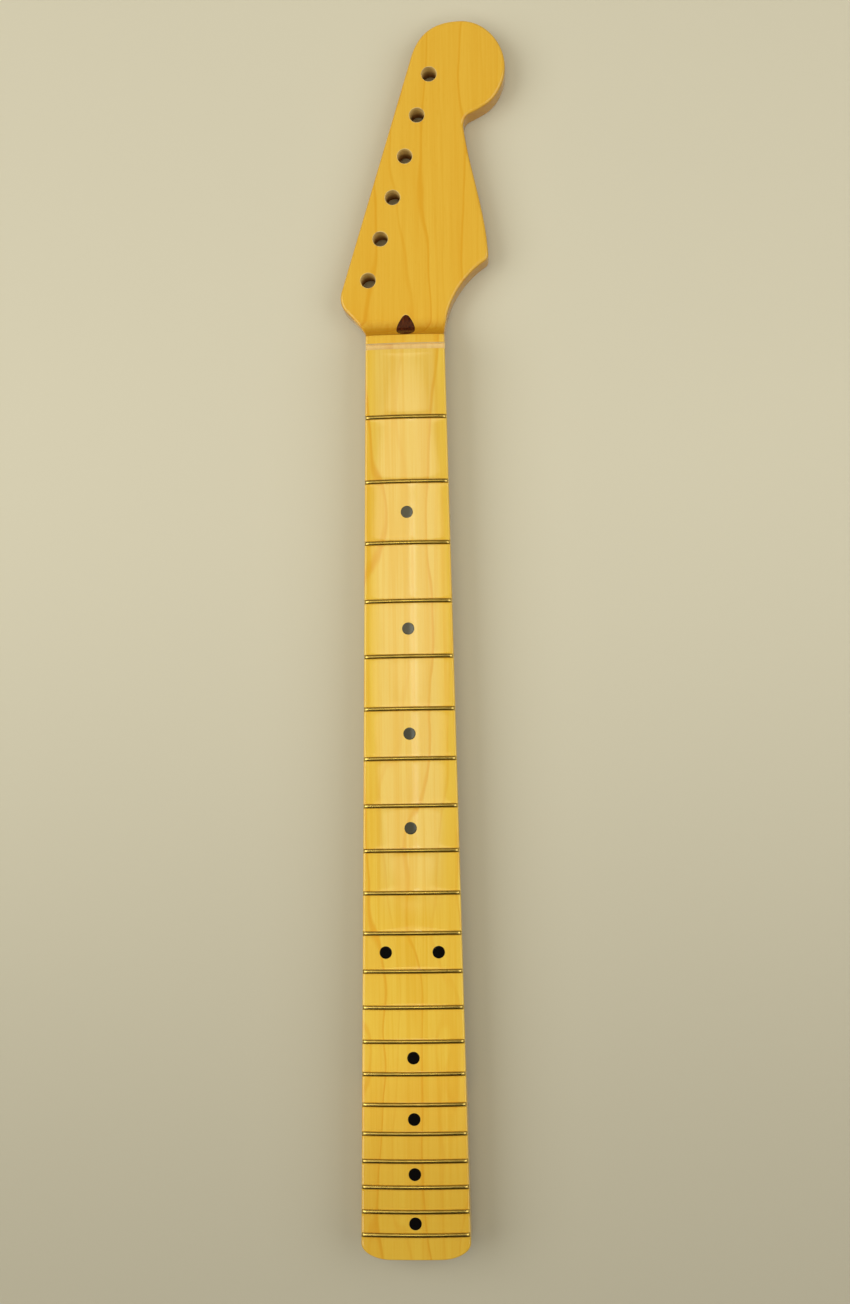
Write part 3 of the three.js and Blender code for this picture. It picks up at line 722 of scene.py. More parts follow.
def all_cuts(material, bore_material):
    """Every hole and slot of the neck as one cutter. No two of them meet."""
    frets = range(1, FRET_COUNT + 1)
    tuners = tuner_places()
    dots = face_dot_places().values()
    side_dots = side_dot_places().values()
    hole_radius = DOT_RADIUS + INLAY_GAP
    pin_radius = SIDE_DOT_RADIUS + INLAY_GAP
    pin_floor = SIDE_DOT_DEPTH + INLAY_GAP
    dot_floor = -DOT_THICKNESS - INLAY_GAP
    return joined("cuts", [
        nut_slot(material),
        nut_bore(material),
        strip_prism("strip slot", INLAY_GAP, STRIP_DEPTH + INLAY_GAP, material),
        plug_rod("plug bore", PLUG_RADIUS + INLAY_GAP, -PLUG_DEPTH - INLAY_GAP, material),
        *(tuner_bore(place, bore_material) for place in tuners),
        *pilot_holes(bore_material),
        *(fret_slot(fret, material) for fret in frets),
        *(face_disc("hole", place, hole_radius, OVERRUN, dot_floor, 0, material) for place in dots),
        *(side_pin("hole", y, pin_radius, -OVERRUN, pin_floor, material) for y in side_dots),
    ])


# Frets and the truss rod's nut


def crown_profile():
    """Section of a fret along the neck: a domed crown over a thin tang."""
    half = CROWN_WIDTH / 2
    tang = TANG_THICKNESS / 2
    rise = CROWN_HEIGHT - CROWN_LIP
    turn = np.linspace(0, math.pi, CROWN_POINTS)
    return [
        (half, 0),
        *((half * math.cos(a), CROWN_LIP + rise * math.sin(a)) for a in turn),
        (-half, 0),
        (-tang, 0),
        (-tang, -TANG_DEPTH),
        (tang, -TANG_DEPTH),
        (tang, 0),
    ]


def filed_end(x, along, height, half_length):
    """A fret's end leans in towards the top, and its upper corner is filed round."""
    if height <= 0:
        return x, along, height
    inside = half_length - abs(x)
    share = min(max(1 - inside / CROWN_END_ROUND, 0), 1)
    full = END_HEIGHT_SHARE + (1 - END_HEIGHT_SHARE) * math.sqrt(1 - share**2)
    lean = 1 - CROWN_END_LEAN * height * full / half_length
    return x * lean, along * (1 - END_NARROWING * share**2), height * full


def fret_wire_piece(name, fret, material):
    y = fret_y(fret)
    half_length = half_width_at(y) - FRET_END_INSET
    wire = across(name, crown_profile(), half_length, y, material, FRET_STEPS, filed_end)
    return smooth(wire, FRET_SMOOTH_UP_TO)


def rod_nut_piece(name, material):
    """A round nut with a blind bore for the rod and a crossed slot for a driver."""
    bore = ROD_DIAMETER / 2 + ROD_HOLE_GAP
    inside = ROD_NUT_LENGTH - ROD_HOLE_IN_NUT_DEPTH
    profile = (
        (0, 0),
        (ROD_NUT_RADIUS - ROD_NUT_CHAMFER, 0),
        (ROD_NUT_RADIUS, ROD_NUT_CHAMFER),
        (ROD_NUT_RADIUS, ROD_NUT_LENGTH - ROD_NUT_CHAMFER),
        (ROD_NUT_RADIUS - ROD_NUT_CHAMFER, ROD_NUT_LENGTH),
        (bore, ROD_NUT_LENGTH),
        (bore, inside),
        (0, inside),
    )
    face_y = HEEL_END_Y + ROD_NUT_RECESS
    nut = turned(name, profile, (0, face_y, ROD_Z), (0, 1, 0), material=material)
    half, long = DRIVER_SLOT_WIDTH / 2, 2 * ROD_NUT_RADIUS
    for width, height in ((half, long), (long, half)):
        near, far = face_y - OVERRUN, face_y + DRIVER_SLOT_DEPTH
        outline = ((-width, near), (width, near), (width, far), (-width, far))
        combine(nut, prism("slot", outline, ROD_Z - height, ROD_Z + height, material))
    return smooth(nut)


# Materials

# Textures: the sizes of their features along X, Y and Z, then octaves of detail and roughness
RING_WANDER = ((30 * MM, 110 * MM, 30 * MM), 2.0, 0.4)
RING_KINK = ((5 * MM, 30 * MM, 5 * MM), 2.0, 0.5)
CLOUD = ((40 * MM, 240 * MM, 40 * MM), 2.0, 0.5)
FIBRE = ((0.7 * MM, 34 * MM, 0.7 * MM), 3.0, 0.6)
FLECK = ((0.5 * MM, 6 * MM, 0.5 * MM), 1.0, 0.5)
STREAK = ((2.2 * MM, 150 * MM, 2.2 * MM), 2.0, 0.6)
LACQUER_WAVE = ((5 * MM, 9 * MM, 5 * MM), 1.0, 0.5)
BORE_MARK = ((30 * MM, 30 * MM, 0.3 * MM), 1.0, 0.5)
WALNUT_STREAK = ((0.8 * MM, 22 * MM, 0.8 * MM), 4.0, 0.65)
WALNUT_VESSEL = ((0.35 * MM, 4 * MM, 0.35 * MM), 1.0, 0.5)
INLAY_DUST = ((0.4 * MM, 0.4 * MM, 0.4 * MM), 3.0, 0.5)
RUBBED_PATCH = ((6 * MM, 6 * MM, 6 * MM), 3.0, 0.6)
WIRE_SCRATCH = ((3 * MM, 0.06 * MM, 3 * MM), 2.0, 0.6)
ZINC_SCRATCH = ((0.1 * MM, 2 * MM, 0.1 * MM), 2.0, 0.6)
STEEL_SCRATCH = ((0.2 * MM, 12 * MM, 0.2 * MM), 2.0, 0.6)
FLOOR_DRIFT = ((350 * MM, 350 * MM, 350 * MM), 2.0, 0.5)

# Value about which every noise varies
NOISE_MIDDLE = 0.5

# How a texture shows: the range over which it sets in, and its amounts below and above that range
CLOUD_SHOWS = (0.3, 0.7, 0.0, 0.5)
STREAK_SHOWS = (0.42, 0.68, 0.0, 1.0)
FIBRE_SHOWS = (0.35, 0.75, 0.0, 0.3)
FLECK_SHOWS = (0.66, 0.8, 0.0, 0.35)
WALNUT_STREAK_SHOWS = (0.3, 0.7, 0.0, 1.0)
WALNUT_VESSEL_SHOWS = (0.62, 0.75, 0.0, 0.8)
INLAY_DUST_SHOWS = (0.4, 0.75, 0.0, 1.0)
RUBBED_PATCH_SHOWS = (0.35, 0.75, 0.0, 1.0)

# Grain of the maple: the tree's heart lies below and to the bass side
PITH_X = -45 * MM
PITH_Z = -70 * MM
PITH_LEAN = 0.018
RING_SPACING = 5.4 * MM
WAVY_UNTIL_Y = 60 * MM
STRAIGHT_FROM_Y = 260 * MM
WAVY_WARP = 26 * MM
STRAIGHT_WARP = 13 * MM
KINK_WARP = 0.8 * MM

# One year's ring, from 0 to 1: where its dark line sets in and ends, and the late wood before it
LINE_SETS_IN = (0.78, 0.91, 0.0, 1.0)
LINE_ENDS = (0.93, 1.0, 1.0, 0.0)
LATE_WOOD = (0.0, 0.85, 0.0, 0.3)
RING_STRENGTHS = (0.0, 1.0, 0.35, 1.0)
RING_DEPTH = 0.8
BOARD_LINE_SHARES = (0.96, 0.82, 0.75)
CLOUD_SHARES = (0.96, 0.9, 0.8)

# Fine streaks along the grain, fainter at the heel and on the headstock
STREAKS_AT_HEEL = 0.4
STREAKS_ON_BOARD = 0.6
STREAKS_ON_HEAD = (0.2, 0.2, 0.2)
STREAKS_FADE = 25 * MM

# Lacquer: its uneven surface, and where it has run up against the frets
LACQUER_WAVE_DEPTH = 0.006 * MM
FILLET_REACH = 0.9 * MM
FILLET_HEIGHT = 0.1 * MM

# Drifts of the lacquer's tint along the neck, and painted light: a painted highlight along the
# board's middle, and painted shade towards the heel's end, in the hollow sweep and on the headstock's
# walls, whose normals point sideways
PALE_TO_FRET = 16
PALEST_TO_FRET = 11
DEEP_FROM_FRET = 14
TINT_BLEND_FRETS = 2
PALE_CORE_WIDTH = 0.6 * NUT_WIDTH / 2
PALE_EDGE_WIDTH = 0.95 * NUT_WIDTH / 2
# where the painted shade in the sweep starts fading, and how far past the sweep it reaches
SWEEP_SHADE_START = 1.5 * MM
SWEEP_SHADE_REACH = 0.5 * MM
WALL_NORMALS = (0.3, 0.8, 1.0, 0.0)
BOARD_TINT = (1.03, 1.08, 1.25)
PALE_TINT = (1, 1.07, 1.12)
# painted highlight: the board's middle towards the nut is paler and bluer, standing in for glare on
# the lacquer
PAINTED_HIGHLIGHT_TINT = (0.99, 1.04, 1.76)
# painted shade: the board darkens towards the heel's end, where less light falls
HEEL_PAINTED_SHADE = (0.8, 0.81, 0.74)
# painted shade in the hollow sweep behind the shelf
SWEEP_PAINTED_SHADE = (0.76, 0.6, 0.13)
# painted shade on the headstock's walls whose normals point sideways
WALL_PAINTED_SHADE = (0.7, 0.58, 0.14)

# Sawn and drilled wood, with painted light on the nut slot's walls and painted shade deep in the
# drilled holes
FIBRE_DEPTH = 0.05 * MM
# how far above the nut slot's floor the painted light on its walls becomes full
PAINTED_LIGHT_RISE = 0.6 * MM
BORE_MARK_DEPTH = 0.1 * MM
# painted shade in the drilled holes: full below the first height, none above the second, and how
# strong it is
BORE_DARK_BELOW = 0.1 * HEAD_THICKNESS
BORE_UNSHADED_ABOVE = 0.75 * HEAD_THICKNESS
BORE_PAINTED_SHADE = 0.88

# How much rougher a metal is where it is rubbed or scratched
PATCH_ROUGHENING = 0.12
SCRATCH_ROUGHENING = 0.1

# Colours, as light that they send back
MAPLE = (0.775, 0.478, 0.055)
MAPLE_RING = (0.71, 0.355, 0.018)
BARE_MAPLE = (0.78, 0.59, 0.26)
BARE_RING = (0.7, 0.48, 0.17)
# pale colour of the painted light on the walls of the nut slot
PAINTED_LIGHT_MAPLE = (0.92, 0.8, 0.5)
BORED_MAPLE = (0.78, 0.58, 0.2)
BORED_RING = (0.4, 0.25, 0.09)
# colour of the painted shade deep in the drilled holes
BORE_DARK = (0.32, 0.13, 0.025)
WALNUT_DARK = (0.03, 0.004, 0.0015)
WALNUT_PALE = (0.11, 0.024, 0.005)
WALNUT_PORE = (0.008, 0.003, 0.002)
INLAY_BLACK = (0.0007, 0.0005, 0.0006)
INLAY_SPECK = (0.002, 0.0015, 0.0013)
NICKEL_SILVER = (0.72, 0.52, 0.13)
NICKEL_DULL = (0.56, 0.39, 0.09)
ZINC = (0.62, 0.61, 0.58)
ZINC_DULL = (0.45, 0.44, 0.42)
STEEL = (0.3, 0.29, 0.27)
STEEL_DULL = (0.16, 0.14, 0.12)
FLOOR_WARM = (0.64, 0.61, 0.485)
FLOOR_COOL = (0.605, 0.575, 0.465)
# painted shade on the floor towards the heel: its colour, where it is full and where it ends
FLOOR_SHADED = (0.42, 0.395, 0.31)
FLOOR_SHADED_UNTIL_Y = -140 * MM
FLOOR_UNSHADED_FROM_Y = 420 * MM

# Metals: colour, dulled colour, roughness, scratches and how deep the scratches look
NICKEL_SILVER_LOOK = (NICKEL_SILVER, NICKEL_DULL, 0.24, WIRE_SCRATCH, 0.004 * MM)
ZINC_LOOK = (ZINC, ZINC_DULL, 0.32, ZINC_SCRATCH, 0.01 * MM)
STEEL_LOOK = (STEEL, STEEL_DULL, 0.4, STEEL_SCRATCH, 0.01 * MM)

UNDER_LACQUER = {
    "Roughness": 0.55,
    "Specular_IOR_Level": 0.05,
    "Coat_Weight": 1.0,
    "Coat_Roughness": 0.07,
    "Coat_IOR": 1.5,
}

# Sockets of the node that mixes two colours: factor, first colour, second colour, and the result
MIX_INPUTS = (0, 6, 7)
MIX_RESULT = 2


def put(tree, socket, value):
    """Links a socket to another, or sets its value."""
    if isinstance(value, bpy.types.NodeSocket):
        tree.links.new(value, socket)
    elif isinstance(value, tuple) and len(value) == 3 and socket.type == "RGBA":
        socket.default_value = (*value, 1)
    else:
        socket.default_value = value


def maths(tree, operation, *values):
    node = tree.nodes.new("ShaderNodeMath")
    node.operation = operation
    for socket, value in zip(node.inputs, values):
        put(tree, socket, value)
    return node.outputs[0]


def product(tree, first, *others):
    for other in others:
        first = maths(tree, "MULTIPLY", first, other)
    return first


def mixed(tree, factor, first, second, blend="MIX"):
    node = tree.nodes.new("ShaderNodeMix")
    node.data_type = "RGBA"
    node.blend_type = blend
    for index, value in zip(MIX_INPUTS, (factor, first, second)):
        put(tree, node.inputs[index], value)
    return node.outputs[MIX_RESULT]


def ramp(tree, value, low, high, out_low=0.0, out_high=1.0):
    """A smooth step of a value from one range to another."""
    node = tree.nodes.new("ShaderNodeMapRange")
    node.interpolation_type = "SMOOTHSTEP"
    for socket, given in zip(node.inputs, (value, low, high, out_low, out_high)):
        put(tree, socket, given)
    return node.outputs[0]


def place_of(tree):
    return tree.nodes.new("ShaderNodeTexCoord").outputs["Object"]


def normal_of(tree):
    return tree.nodes.new("ShaderNodeTexCoord").outputs["Normal"]


def axes_of(tree, vector):
    """The X, Y and Z of a vector."""
    split = tree.nodes.new("ShaderNodeSeparateXYZ")
    put(tree, split.inputs[0], vector)
    return split.outputs


def noise(tree, sizes, detail, roughness):
    """Noise whose features have these sizes along X, Y and Z."""
    scaled = tree.nodes.new("ShaderNodeVectorMath")
    scaled.operation = "DIVIDE"
    put(tree, scaled.inputs[0], place_of(tree))
    put(tree, scaled.inputs[1], sizes)
    node = tree.nodes.new("ShaderNodeTexNoise")
    put(tree, node.inputs["Vector"], scaled.outputs[0])
    put(tree, node.inputs["Scale"], 1.0)
    put(tree, node.inputs["Detail"], detail)
    put(tree, node.inputs["Roughness"], roughness)
    return node.outputs[0]


def bump(tree, height, depth, normal=None):
    node = tree.nodes.new("ShaderNodeBump")
    put(tree, node.inputs["Height"], height)
    put(tree, node.inputs["Distance"], depth)
    put(tree, node.inputs["Strength"], 1.0)
    if normal:
        put(tree, node.inputs["Normal"], normal)
    return node.outputs[0]


def lacquer_wave(tree):
    """The lacquer's surface isn't quite level."""
    return bump(tree, noise(tree, *LACQUER_WAVE), LACQUER_WAVE_DEPTH)


def shaded(colour, shares):
    return tuple(channel * share for channel, share in zip(colour, shares))


def new_material(name, **settings):
    material = bpy.data.materials.new(name)
    material.use_nodes = True
    tree = material.node_tree
    shader = tree.nodes["Principled BSDF"]
    for key, value in settings.items():
        put(tree, shader.inputs[key.replace("_", " ")], value)
    return material, tree, shader


def growth_rings(tree):
    """Strength of the dark line at the end of each year's growth, from 0 to 1."""
    x, y, z = axes_of(tree, place_of(tree))
    lean = maths(tree, "MULTIPLY_ADD", y, -PITH_LEAN, -PITH_X)
    across_pith = maths(tree, "ADD", x, lean)
    up_pith = maths(tree, "ADD", z, -PITH_Z)
    square = maths(tree, "MULTIPLY", across_pith, across_pith)
    square = maths(tree, "MULTIPLY_ADD", up_pith, up_pith, square)
    distance = maths(tree, "SQRT", square)
    warp = ramp(tree, y, WAVY_UNTIL_Y, STRAIGHT_FROM_Y, WAVY_WARP, STRAIGHT_WARP)
    for texture, amount in ((RING_WANDER, warp), (RING_KINK, KINK_WARP)):
        centred = maths(tree, "ADD", noise(tree, *texture), -NOISE_MIDDLE)
        distance = maths(tree, "MULTIPLY_ADD", centred, amount, distance)
    count = maths(tree, "DIVIDE", distance, RING_SPACING)
    share = maths(tree, "FRACT", count)
    year = tree.nodes.new("ShaderNodeTexWhiteNoise")
    year.noise_dimensions = "1D"
    put(tree, year.inputs["W"], maths(tree, "FLOOR", count))
    strength = ramp(tree, year.outputs["Value"], *RING_STRENGTHS)
    line = maths(tree, "MAXIMUM", ramp(tree, share, *LINE_SETS_IN), ramp(tree, share, *LATE_WOOD))
    return product(tree, line, ramp(tree, share, *LINE_ENDS), strength)


def maple_colour(tree, colour, ring_colour):
    """Straight-grained maple: ring lines, fine fibres, short flecks and slow drifts of colour."""
    y = axes_of(tree, place_of(tree))[1]
    on_head = ramp(tree, y, SHELF_END_Y, SHELF_END_Y + STREAKS_FADE)
    line_colour = mixed(tree, on_head, shaded(ring_colour, BOARD_LINE_SHARES), ring_colour)
    reach = (fret_y(DEEP_FROM_FRET), fret_y(PALEST_TO_FRET))
    streaks = ramp(tree, y, *reach, STREAKS_AT_HEEL, STREAKS_ON_BOARD)
    streaks = mixed(tree, on_head, streaks, STREAKS_ON_HEAD)
    clouds = ramp(tree, noise(tree, *CLOUD), *CLOUD_SHOWS)
    base = mixed(tree, clouds, colour, shaded(colour, CLOUD_SHARES))
    base = mixed(tree, product(tree, growth_rings(tree), RING_DEPTH), base, line_colour)
    streaks = product(tree, ramp(tree, noise(tree, *STREAK), *STREAK_SHOWS), streaks)
    fibres = ramp(tree, noise(tree, *FIBRE), *FIBRE_SHOWS)
    flecks = ramp(tree, noise(tree, *FLECK), *FLECK_SHOWS)
    for amount in (streaks, fibres, flecks):
        base = mixed(tree, amount, base, ring_colour)
    return base


def fret_fillet(tree):
    """Height of the lacquer that has run up against the nearest fret, from 0 to 1."""
    y = axes_of(tree, place_of(tree))[1]
    left = maths(tree, "ADD", y, SCALE_LENGTH - NUT_Y)
    octaves = maths(tree, "LOGARITHM", maths(tree, "DIVIDE", left, SCALE_LENGTH), OCTAVE_RATIO)
    number = maths(tree, "MULTIPLY", octaves, -SEMITONES_PER_OCTAVE)
    apart = maths(tree, "ABSOLUTE", maths(tree, "SUBTRACT", number, maths(tree, "ROUND", number)))
    apart = product(tree, apart, left, math.log(OCTAVE_RATIO) / SEMITONES_PER_OCTAVE)
    apart = maths(tree, "SUBTRACT", apart, CROWN_WIDTH / 2)
    fall = maths(tree, "EXPONENT", maths(tree, "DIVIDE", apart, -FILLET_REACH))
    on_board = maths(tree, "LESS_THAN", y, NUT_Y - CROWN_WIDTH)
    return product(tree, maths(tree, "MINIMUM", fall, 1.0), on_board)


def tint_and_painted_light(tree, wood):
    """The lacquer's tint, paler on the board, with painted light over it: a painted highlight along
    the board's middle, and painted shade at the heel, in the sweep and on the headstock's walls.
    """
    x, y, _ = axes_of(tree, place_of(tree))
    up = maths(tree, "ABSOLUTE", axes_of(tree, normal_of(tree))[2])
    from_middle = maths(tree, "ABSOLUTE", x)
    before_nut = maths(tree, "LESS_THAN", y, NUT_Y)
    board = maths(tree, "LESS_THAN", y, SHELF_END_Y)
    behind_shelf = maths(tree, "GREATER_THAN", y, SHELF_END_Y)
    behind_sweep = maths(tree, "GREATER_THAN", y, SWEEP_END_Y)
    pale = ramp(tree, y, fret_y(PALE_TO_FRET), fret_y(PALE_TO_FRET - TINT_BLEND_FRETS))
    palest = ramp(tree, y, fret_y(PALEST_TO_FRET), fret_y(PALEST_TO_FRET - TINT_BLEND_FRETS))
    core = ramp(tree, from_middle, PALE_CORE_WIDTH, PALE_EDGE_WIDTH, 1.0, 0.0)
    heel = ramp(tree, y, fret_y(FRET_COUNT), fret_y(DEEP_FROM_FRET), 1.0, 0.0)
    sweep_start = SHELF_END_Y + SWEEP_SHADE_START
    sweep = ramp(tree, y, sweep_start, SWEEP_END_Y + SWEEP_SHADE_REACH, 1.0, 0.0)
    for amount, tint in (
        (board, BOARD_TINT),
        (product(tree, pale, before_nut), PALE_TINT),
        # painted highlight along the board's middle
        (product(tree, palest, before_nut, core), PAINTED_HIGHLIGHT_TINT),
        # painted shade towards the heel's end
        (heel, HEEL_PAINTED_SHADE),
        # painted shade in the sweep
        (product(tree, sweep, behind_shelf), SWEEP_PAINTED_SHADE),
        # painted shade on the headstock's side walls
        (product(tree, ramp(tree, up, *WALL_NORMALS), behind_sweep), WALL_PAINTED_SHADE),
    ):
        wood = mixed(tree, amount, wood, tint, blend="MULTIPLY")
    return wood


def lacquered_maple():
    material, tree, shader = new_material("lacquered maple", **UNDER_LACQUER)
    put(tree, shader.inputs["Base Color"], tint_and_painted_light(tree, maple_colour(tree, MAPLE, MAPLE_RING)))
    surface = bump(tree, fret_fillet(tree), FILLET_HEIGHT, lacquer_wave(tree))
    put(tree, shader.inputs["Coat Normal"], surface)
    return material


def bare_maple():
    """Sawn wood without lacquer, with painted light: palest along the cut's upper edges, from a
    little above the nut slot's floor.
    """
    material, tree, shader = new_material("bare maple", Roughness=0.7)
    z = axes_of(tree, place_of(tree))[2]
    slot_floor = BLANK_THICKNESS - NUT_SLOT_DEPTH
    # painted light: the cut's walls are painted pale from a little above the nut slot's floor
    painted_light = ramp(tree, z, slot_floor, slot_floor + PAINTED_LIGHT_RISE)
    base = mixed(tree, painted_light, maple_colour(tree, BARE_MAPLE, BARE_RING), PAINTED_LIGHT_MAPLE)
    put(tree, shader.inputs["Base Color"], base)
    put(tree, shader.inputs["Normal"], bump(tree, noise(tree, *FIBRE), FIBRE_DEPTH))
    return material


def bored_maple():
    """The walls of drilled holes: duller, with painted shade that darkens them towards the back, and
    the drill's fine rings.
    """
    material, tree, shader = new_material("bored maple", Roughness=0.8)
    z = axes_of(tree, place_of(tree))[2]
    # painted shade: the wall darkens towards the back of the hole
    deep = ramp(tree, z, BORE_DARK_BELOW, BORE_UNSHADED_ABOVE, BORE_PAINTED_SHADE, 0.0)
    base = mixed(tree, deep, maple_colour(tree, BORED_MAPLE, BORED_RING), BORE_DARK)
    put(tree, shader.inputs["Base Color"], base)
    put(tree, shader.inputs["Normal"], bump(tree, noise(tree, *BORE_MARK), BORE_MARK_DEPTH))
    return material


def walnut():
    material, tree, shader = new_material("walnut", **UNDER_LACQUER)
    streaks = ramp(tree, noise(tree, *WALNUT_STREAK), *WALNUT_STREAK_SHOWS)
    vessels = ramp(tree, noise(tree, *WALNUT_VESSEL), *WALNUT_VESSEL_SHOWS)
    base = mixed(tree, streaks, WALNUT_DARK, WALNUT_PALE)
    put(tree, shader.inputs["Base Color"], mixed(tree, vessels, base, WALNUT_PORE))
    put(tree, shader.inputs["Coat Normal"], lacquer_wave(tree))
    return material


def black_inlay():
    material, tree, shader = new_material("black inlay", **UNDER_LACQUER)
    dust = ramp(tree, noise(tree, *INLAY_DUST), *INLAY_DUST_SHOWS)
    put(tree, shader.inputs["Base Color"], mixed(tree, dust, INLAY_BLACK, INLAY_SPECK))
    put(tree, shader.inputs["Coat Normal"], lacquer_wave(tree))
    return material


def metal(name, colour, dull_colour, roughness, scratches, depth):
    """Metal with rubbed patches and fine scratches."""
    material, tree, shader = new_material(name, Metallic=1.0)
    patch = noise(tree, *RUBBED_PATCH)
    scratch = noise(tree, *scratches)
    rubbed = ramp(tree, patch, *RUBBED_PATCH_SHOWS)
    put(tree, shader.inputs["Base Color"], mixed(tree, rubbed, colour, dull_colour))
    smoothest = roughness - PATCH_ROUGHENING / 2
    rough = maths(tree, "MULTIPLY_ADD", patch, PATCH_ROUGHENING, smoothest)
    rough = maths(tree, "MULTIPLY_ADD", scratch, SCRATCH_ROUGHENING, rough)
    put(tree, shader.inputs["Roughness"], rough)
    put(tree, shader.inputs["Normal"], bump(tree, scratch, depth))
    return material


def floor_finish():
    """A pale floor with painted shade, a little duller towards the heel and past it."""
    material, tree, shader = new_material("floor", Roughness=0.85, Specular_IOR_Level=0.1)
    y = axes_of(tree, place_of(tree))[1]
    # painted shade: the floor turns duller towards the heel
    painted_shade = ramp(tree, y, FLOOR_SHADED_UNTIL_Y, FLOOR_UNSHADED_FROM_Y, 1.0, 0.0)
    base = mixed(tree, noise(tree, *FLOOR_DRIFT), FLOOR_COOL, FLOOR_WARM)
    put(tree, shader.inputs["Base Color"], mixed(tree, painted_shade, base, FLOOR_SHADED))
    return material


lacquered = lacquered_maple()
bare = bare_maple()
bored = bored_maple()
dark_wood = walnut()
inlay = black_inlay()
wire = metal("nickel silver", *NICKEL_SILVER_LOOK)
zinc = metal("zinc-plated steel", *ZINC_LOOK)
steel = metal("drawn steel", *STEEL_LOOK)

# The neck and what is let into it

neck = neck_blank("neck", lacquered)
plug = kept_inside(plug_rod("plug", PLUG_RADIUS, -PLUG_DEPTH, dark_wood), neck)
strip = kept_inside(strip_prism("back_strip", 0, STRIP_DEPTH, dark_wood), neck)
combine(neck, all_cuts(bare, bored))


def settle(obj, body, material_slot, *nodes):
    """A finished piece: it rides on a body and stands for its CAD nodes."""
    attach(obj, body)
    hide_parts(*nodes)


settle(smooth(neck), "neck", "maple", "neck_blank")
settle(smooth(plug), "neck", "walnut", "headstock_plug")
settle(smooth(strip), "neck", "walnut", "skunk_stripe")

for number in range(1, FRET_COUNT + 1):
    fret_wire = fret_wire_piece(f"fret_wire_{number:02d}", number, wire)
    settle(fret_wire, "neck", "fret_wire", f"fret_{number:02d}")

for node, place in face_dot_places().items():
    dot = face_disc(f"face_{node}", place, DOT_RADIUS, 0, -DOT_THICKNESS, DOT_EDGE_ROUND, inlay)
    settle(smooth(dot), "neck", "black_inlay", node)

for node, y in side_dot_places().items():
    pin = side_pin(f"edge_{node}", y, SIDE_DOT_RADIUS, 0, SIDE_DOT_DEPTH, inlay)
    settle(smooth(pin), "neck", "black_inlay", node)

settle(rod_nut_piece("rod_nut_piece", zinc), "rod_nut", "zinc_plated_steel", "truss_rod_nut")

for node, material in (("truss_rod", steel), ("truss_rod_anchor", zinc), ("truss_rod_washer", zinc)):
    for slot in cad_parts[node].material_slots:
        slot.material = material

# Floor, light and camera: places and sizes in metres, light as what a lamp's face sends out

FLOOR_SIZE = 5
FLOOR_THICKNESS = 0.02
BOARD_CENTRE = (0, 0.2, BLANK_THICKNESS)

GLOW_PLACE = (-0.12, 0.48, 1.925)
GLOW_SIZES = (0.98, 0.88)
GLOW_LIGHT = (1.7, 1.55, 0.93)
GLOW_MIDDLE_PLACE = (-0.12, 0.62, 1.915)
GLOW_MIDDLE_SIZES = (0.8, 0.5)
GLOW_MIDDLE_LIGHT = (0.9, 0.78, 0.52)
STRIP_LAMP_PLACE = (-0.064, 0.42, 1.9)
STRIP_LAMP_SIZES = (0.085, 0.56)
STRIP_LAMP_LIGHT = (2, 2.3, 2.1)

LEFT_WINDOW_PLACE = (-1.35, 0.3, 1.35)
RIGHT_WINDOW_PLACE = (1.35, 0.3, 1.35)
WINDOW_SIZES = (1.7, 1.5)
LEFT_WINDOW_LIGHT = (2.75, 2.68, 2.5)
RIGHT_WINDOW_LIGHT = (1.87, 1.83, 1.72)
HEEL_LAMP_PLACE = (0, -0.95, 1.9)
HEEL_LAMP_SIZES = (1.2, 0.7)
HEEL_LAMP_LIGHT = (2.7, 2.6, 2.35)
HEAD_LAMP_PLACE = (0, 2, 1.3)
HEAD_LAMP_SIZES = (3, 1.6)
HEAD_LAMP_LIGHT = (0.27, 0.22, 0.13)

SKY_FILL = (0.2, 0.196, 0.185)
SKY_MIRRORED = (0.014, 0.013, 0.011)
SKY_SEEN = (0.58, 0.54, 0.41)

CAMERA_PLACE = (0.0644, 0.18437, 0.95167)
CAMERA_TURN = (0.0900592, 0.0613834, -0.0130501)
CAMERA_LENS = 49.69
CAMERA_SENSOR = 36
CAMERA_NEAREST = 0.01


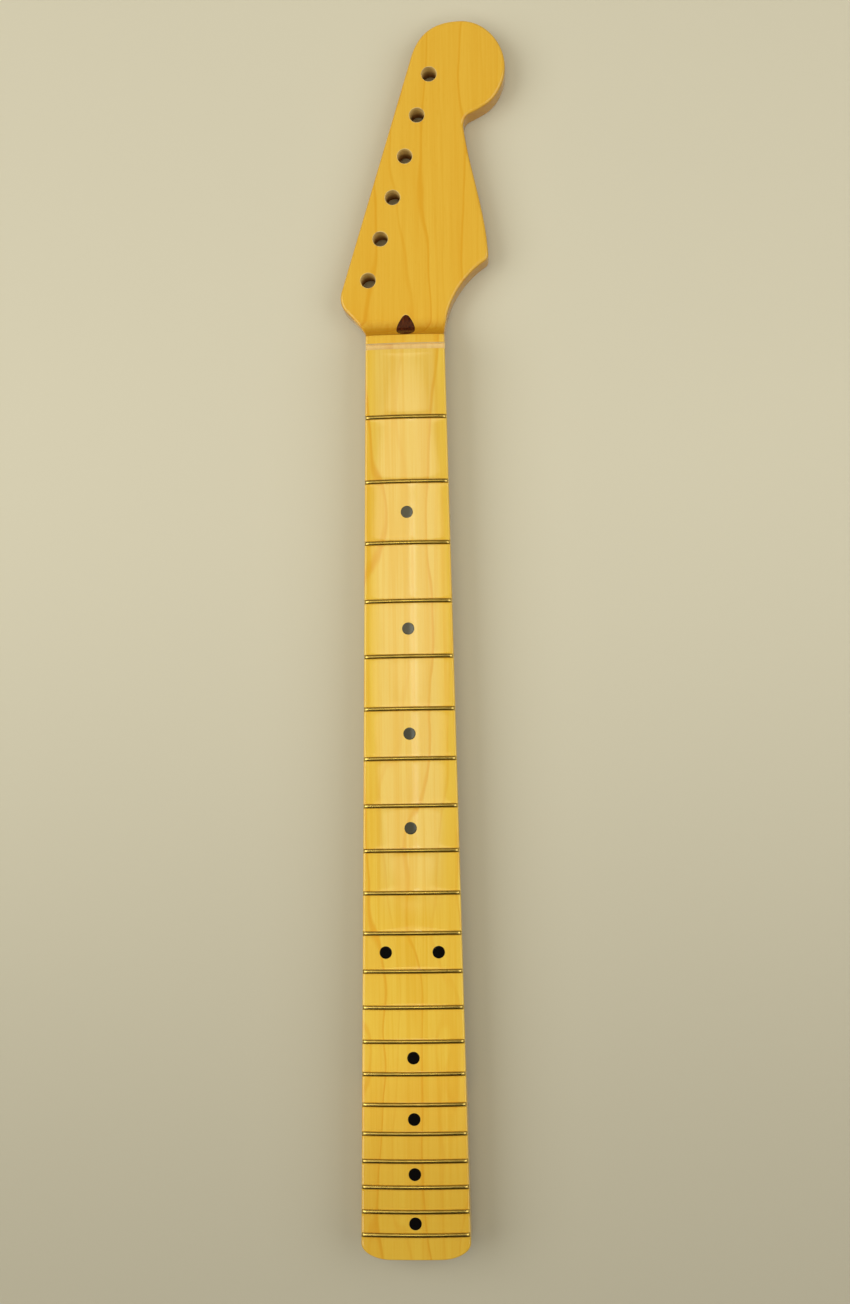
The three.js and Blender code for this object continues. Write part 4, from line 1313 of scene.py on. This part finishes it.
def area_light(name, place, sizes, radiance, target=BOARD_CENTRE, shape="RECTANGLE", mirrored=True):
    """A soft lamp of known brightness at its face, which the lacquer and the metal may mirror."""
    light = bpy.data.lights.new(name, "AREA")
    light.shape = shape
    light.size, light.size_y = sizes
    brightest = max(radiance)
    light.color = [channel / brightest for channel in radiance]
    face = sizes[0] * sizes[1] * (math.pi / 4 if shape == "ELLIPSE" else 1)
    light.energy = brightest * math.pi * face
    obj = bpy.data.objects.new(name, light)
    obj.location = place
    aim = Vector(target) - Vector(place)
    obj.rotation_euler = aim.to_track_quat("-Z", "Y").to_euler()
    obj.visible_glossy = mirrored
    bpy.context.scene.collection.objects.link(obj)


def hung_light(name, place, sizes, radiance):
    """An oval lamp that looks straight down."""
    area_light(name, place, sizes, radiance, (*place[:2], 0), "ELLIPSE")


corner = FLOOR_SIZE / 2
floor_outline = ((-corner, -corner), (corner, -corner), (corner, corner), (-corner, corner))
floor = prism("floor", floor_outline, -FLOOR_THICKNESS, 0, floor_finish())

hung_light("glow", GLOW_PLACE, GLOW_SIZES, GLOW_LIGHT)
hung_light("middle of the glow", GLOW_MIDDLE_PLACE, GLOW_MIDDLE_SIZES, GLOW_MIDDLE_LIGHT)
hung_light("strip lamp", STRIP_LAMP_PLACE, STRIP_LAMP_SIZES, STRIP_LAMP_LIGHT)
area_light("left window", LEFT_WINDOW_PLACE, WINDOW_SIZES, LEFT_WINDOW_LIGHT)
area_light("right window", RIGHT_WINDOW_PLACE, WINDOW_SIZES, RIGHT_WINDOW_LIGHT)
area_light("heel lamp", HEEL_LAMP_PLACE, HEEL_LAMP_SIZES, HEEL_LAMP_LIGHT, mirrored=False)
area_light("head lamp", HEAD_LAMP_PLACE, HEAD_LAMP_SIZES, HEAD_LAMP_LIGHT)

world = bpy.data.worlds.new("world")
world.use_nodes = True
bpy.context.scene.world = world
sky = world.node_tree
background = sky.nodes["Background"]
background.inputs["Strength"].default_value = 1
ray = sky.nodes.new("ShaderNodeLightPath")
around = mixed(sky, ray.outputs["Is Glossy Ray"], SKY_FILL, SKY_MIRRORED)
put(sky, background.inputs["Color"], mixed(sky, ray.outputs["Is Camera Ray"], around, SKY_SEEN))

camera_data = bpy.data.cameras.new("camera")
camera_data.lens = CAMERA_LENS
camera_data.sensor_width = CAMERA_SENSOR
camera_data.clip_start = CAMERA_NEAREST
camera = bpy.data.objects.new("camera", camera_data)
camera.location = CAMERA_PLACE
camera.rotation_euler = CAMERA_TURN
bpy.context.scene.collection.objects.link(camera)
bpy.context.scene.camera = camera
bpy.context.scene.view_settings.view_transform = "Standard"
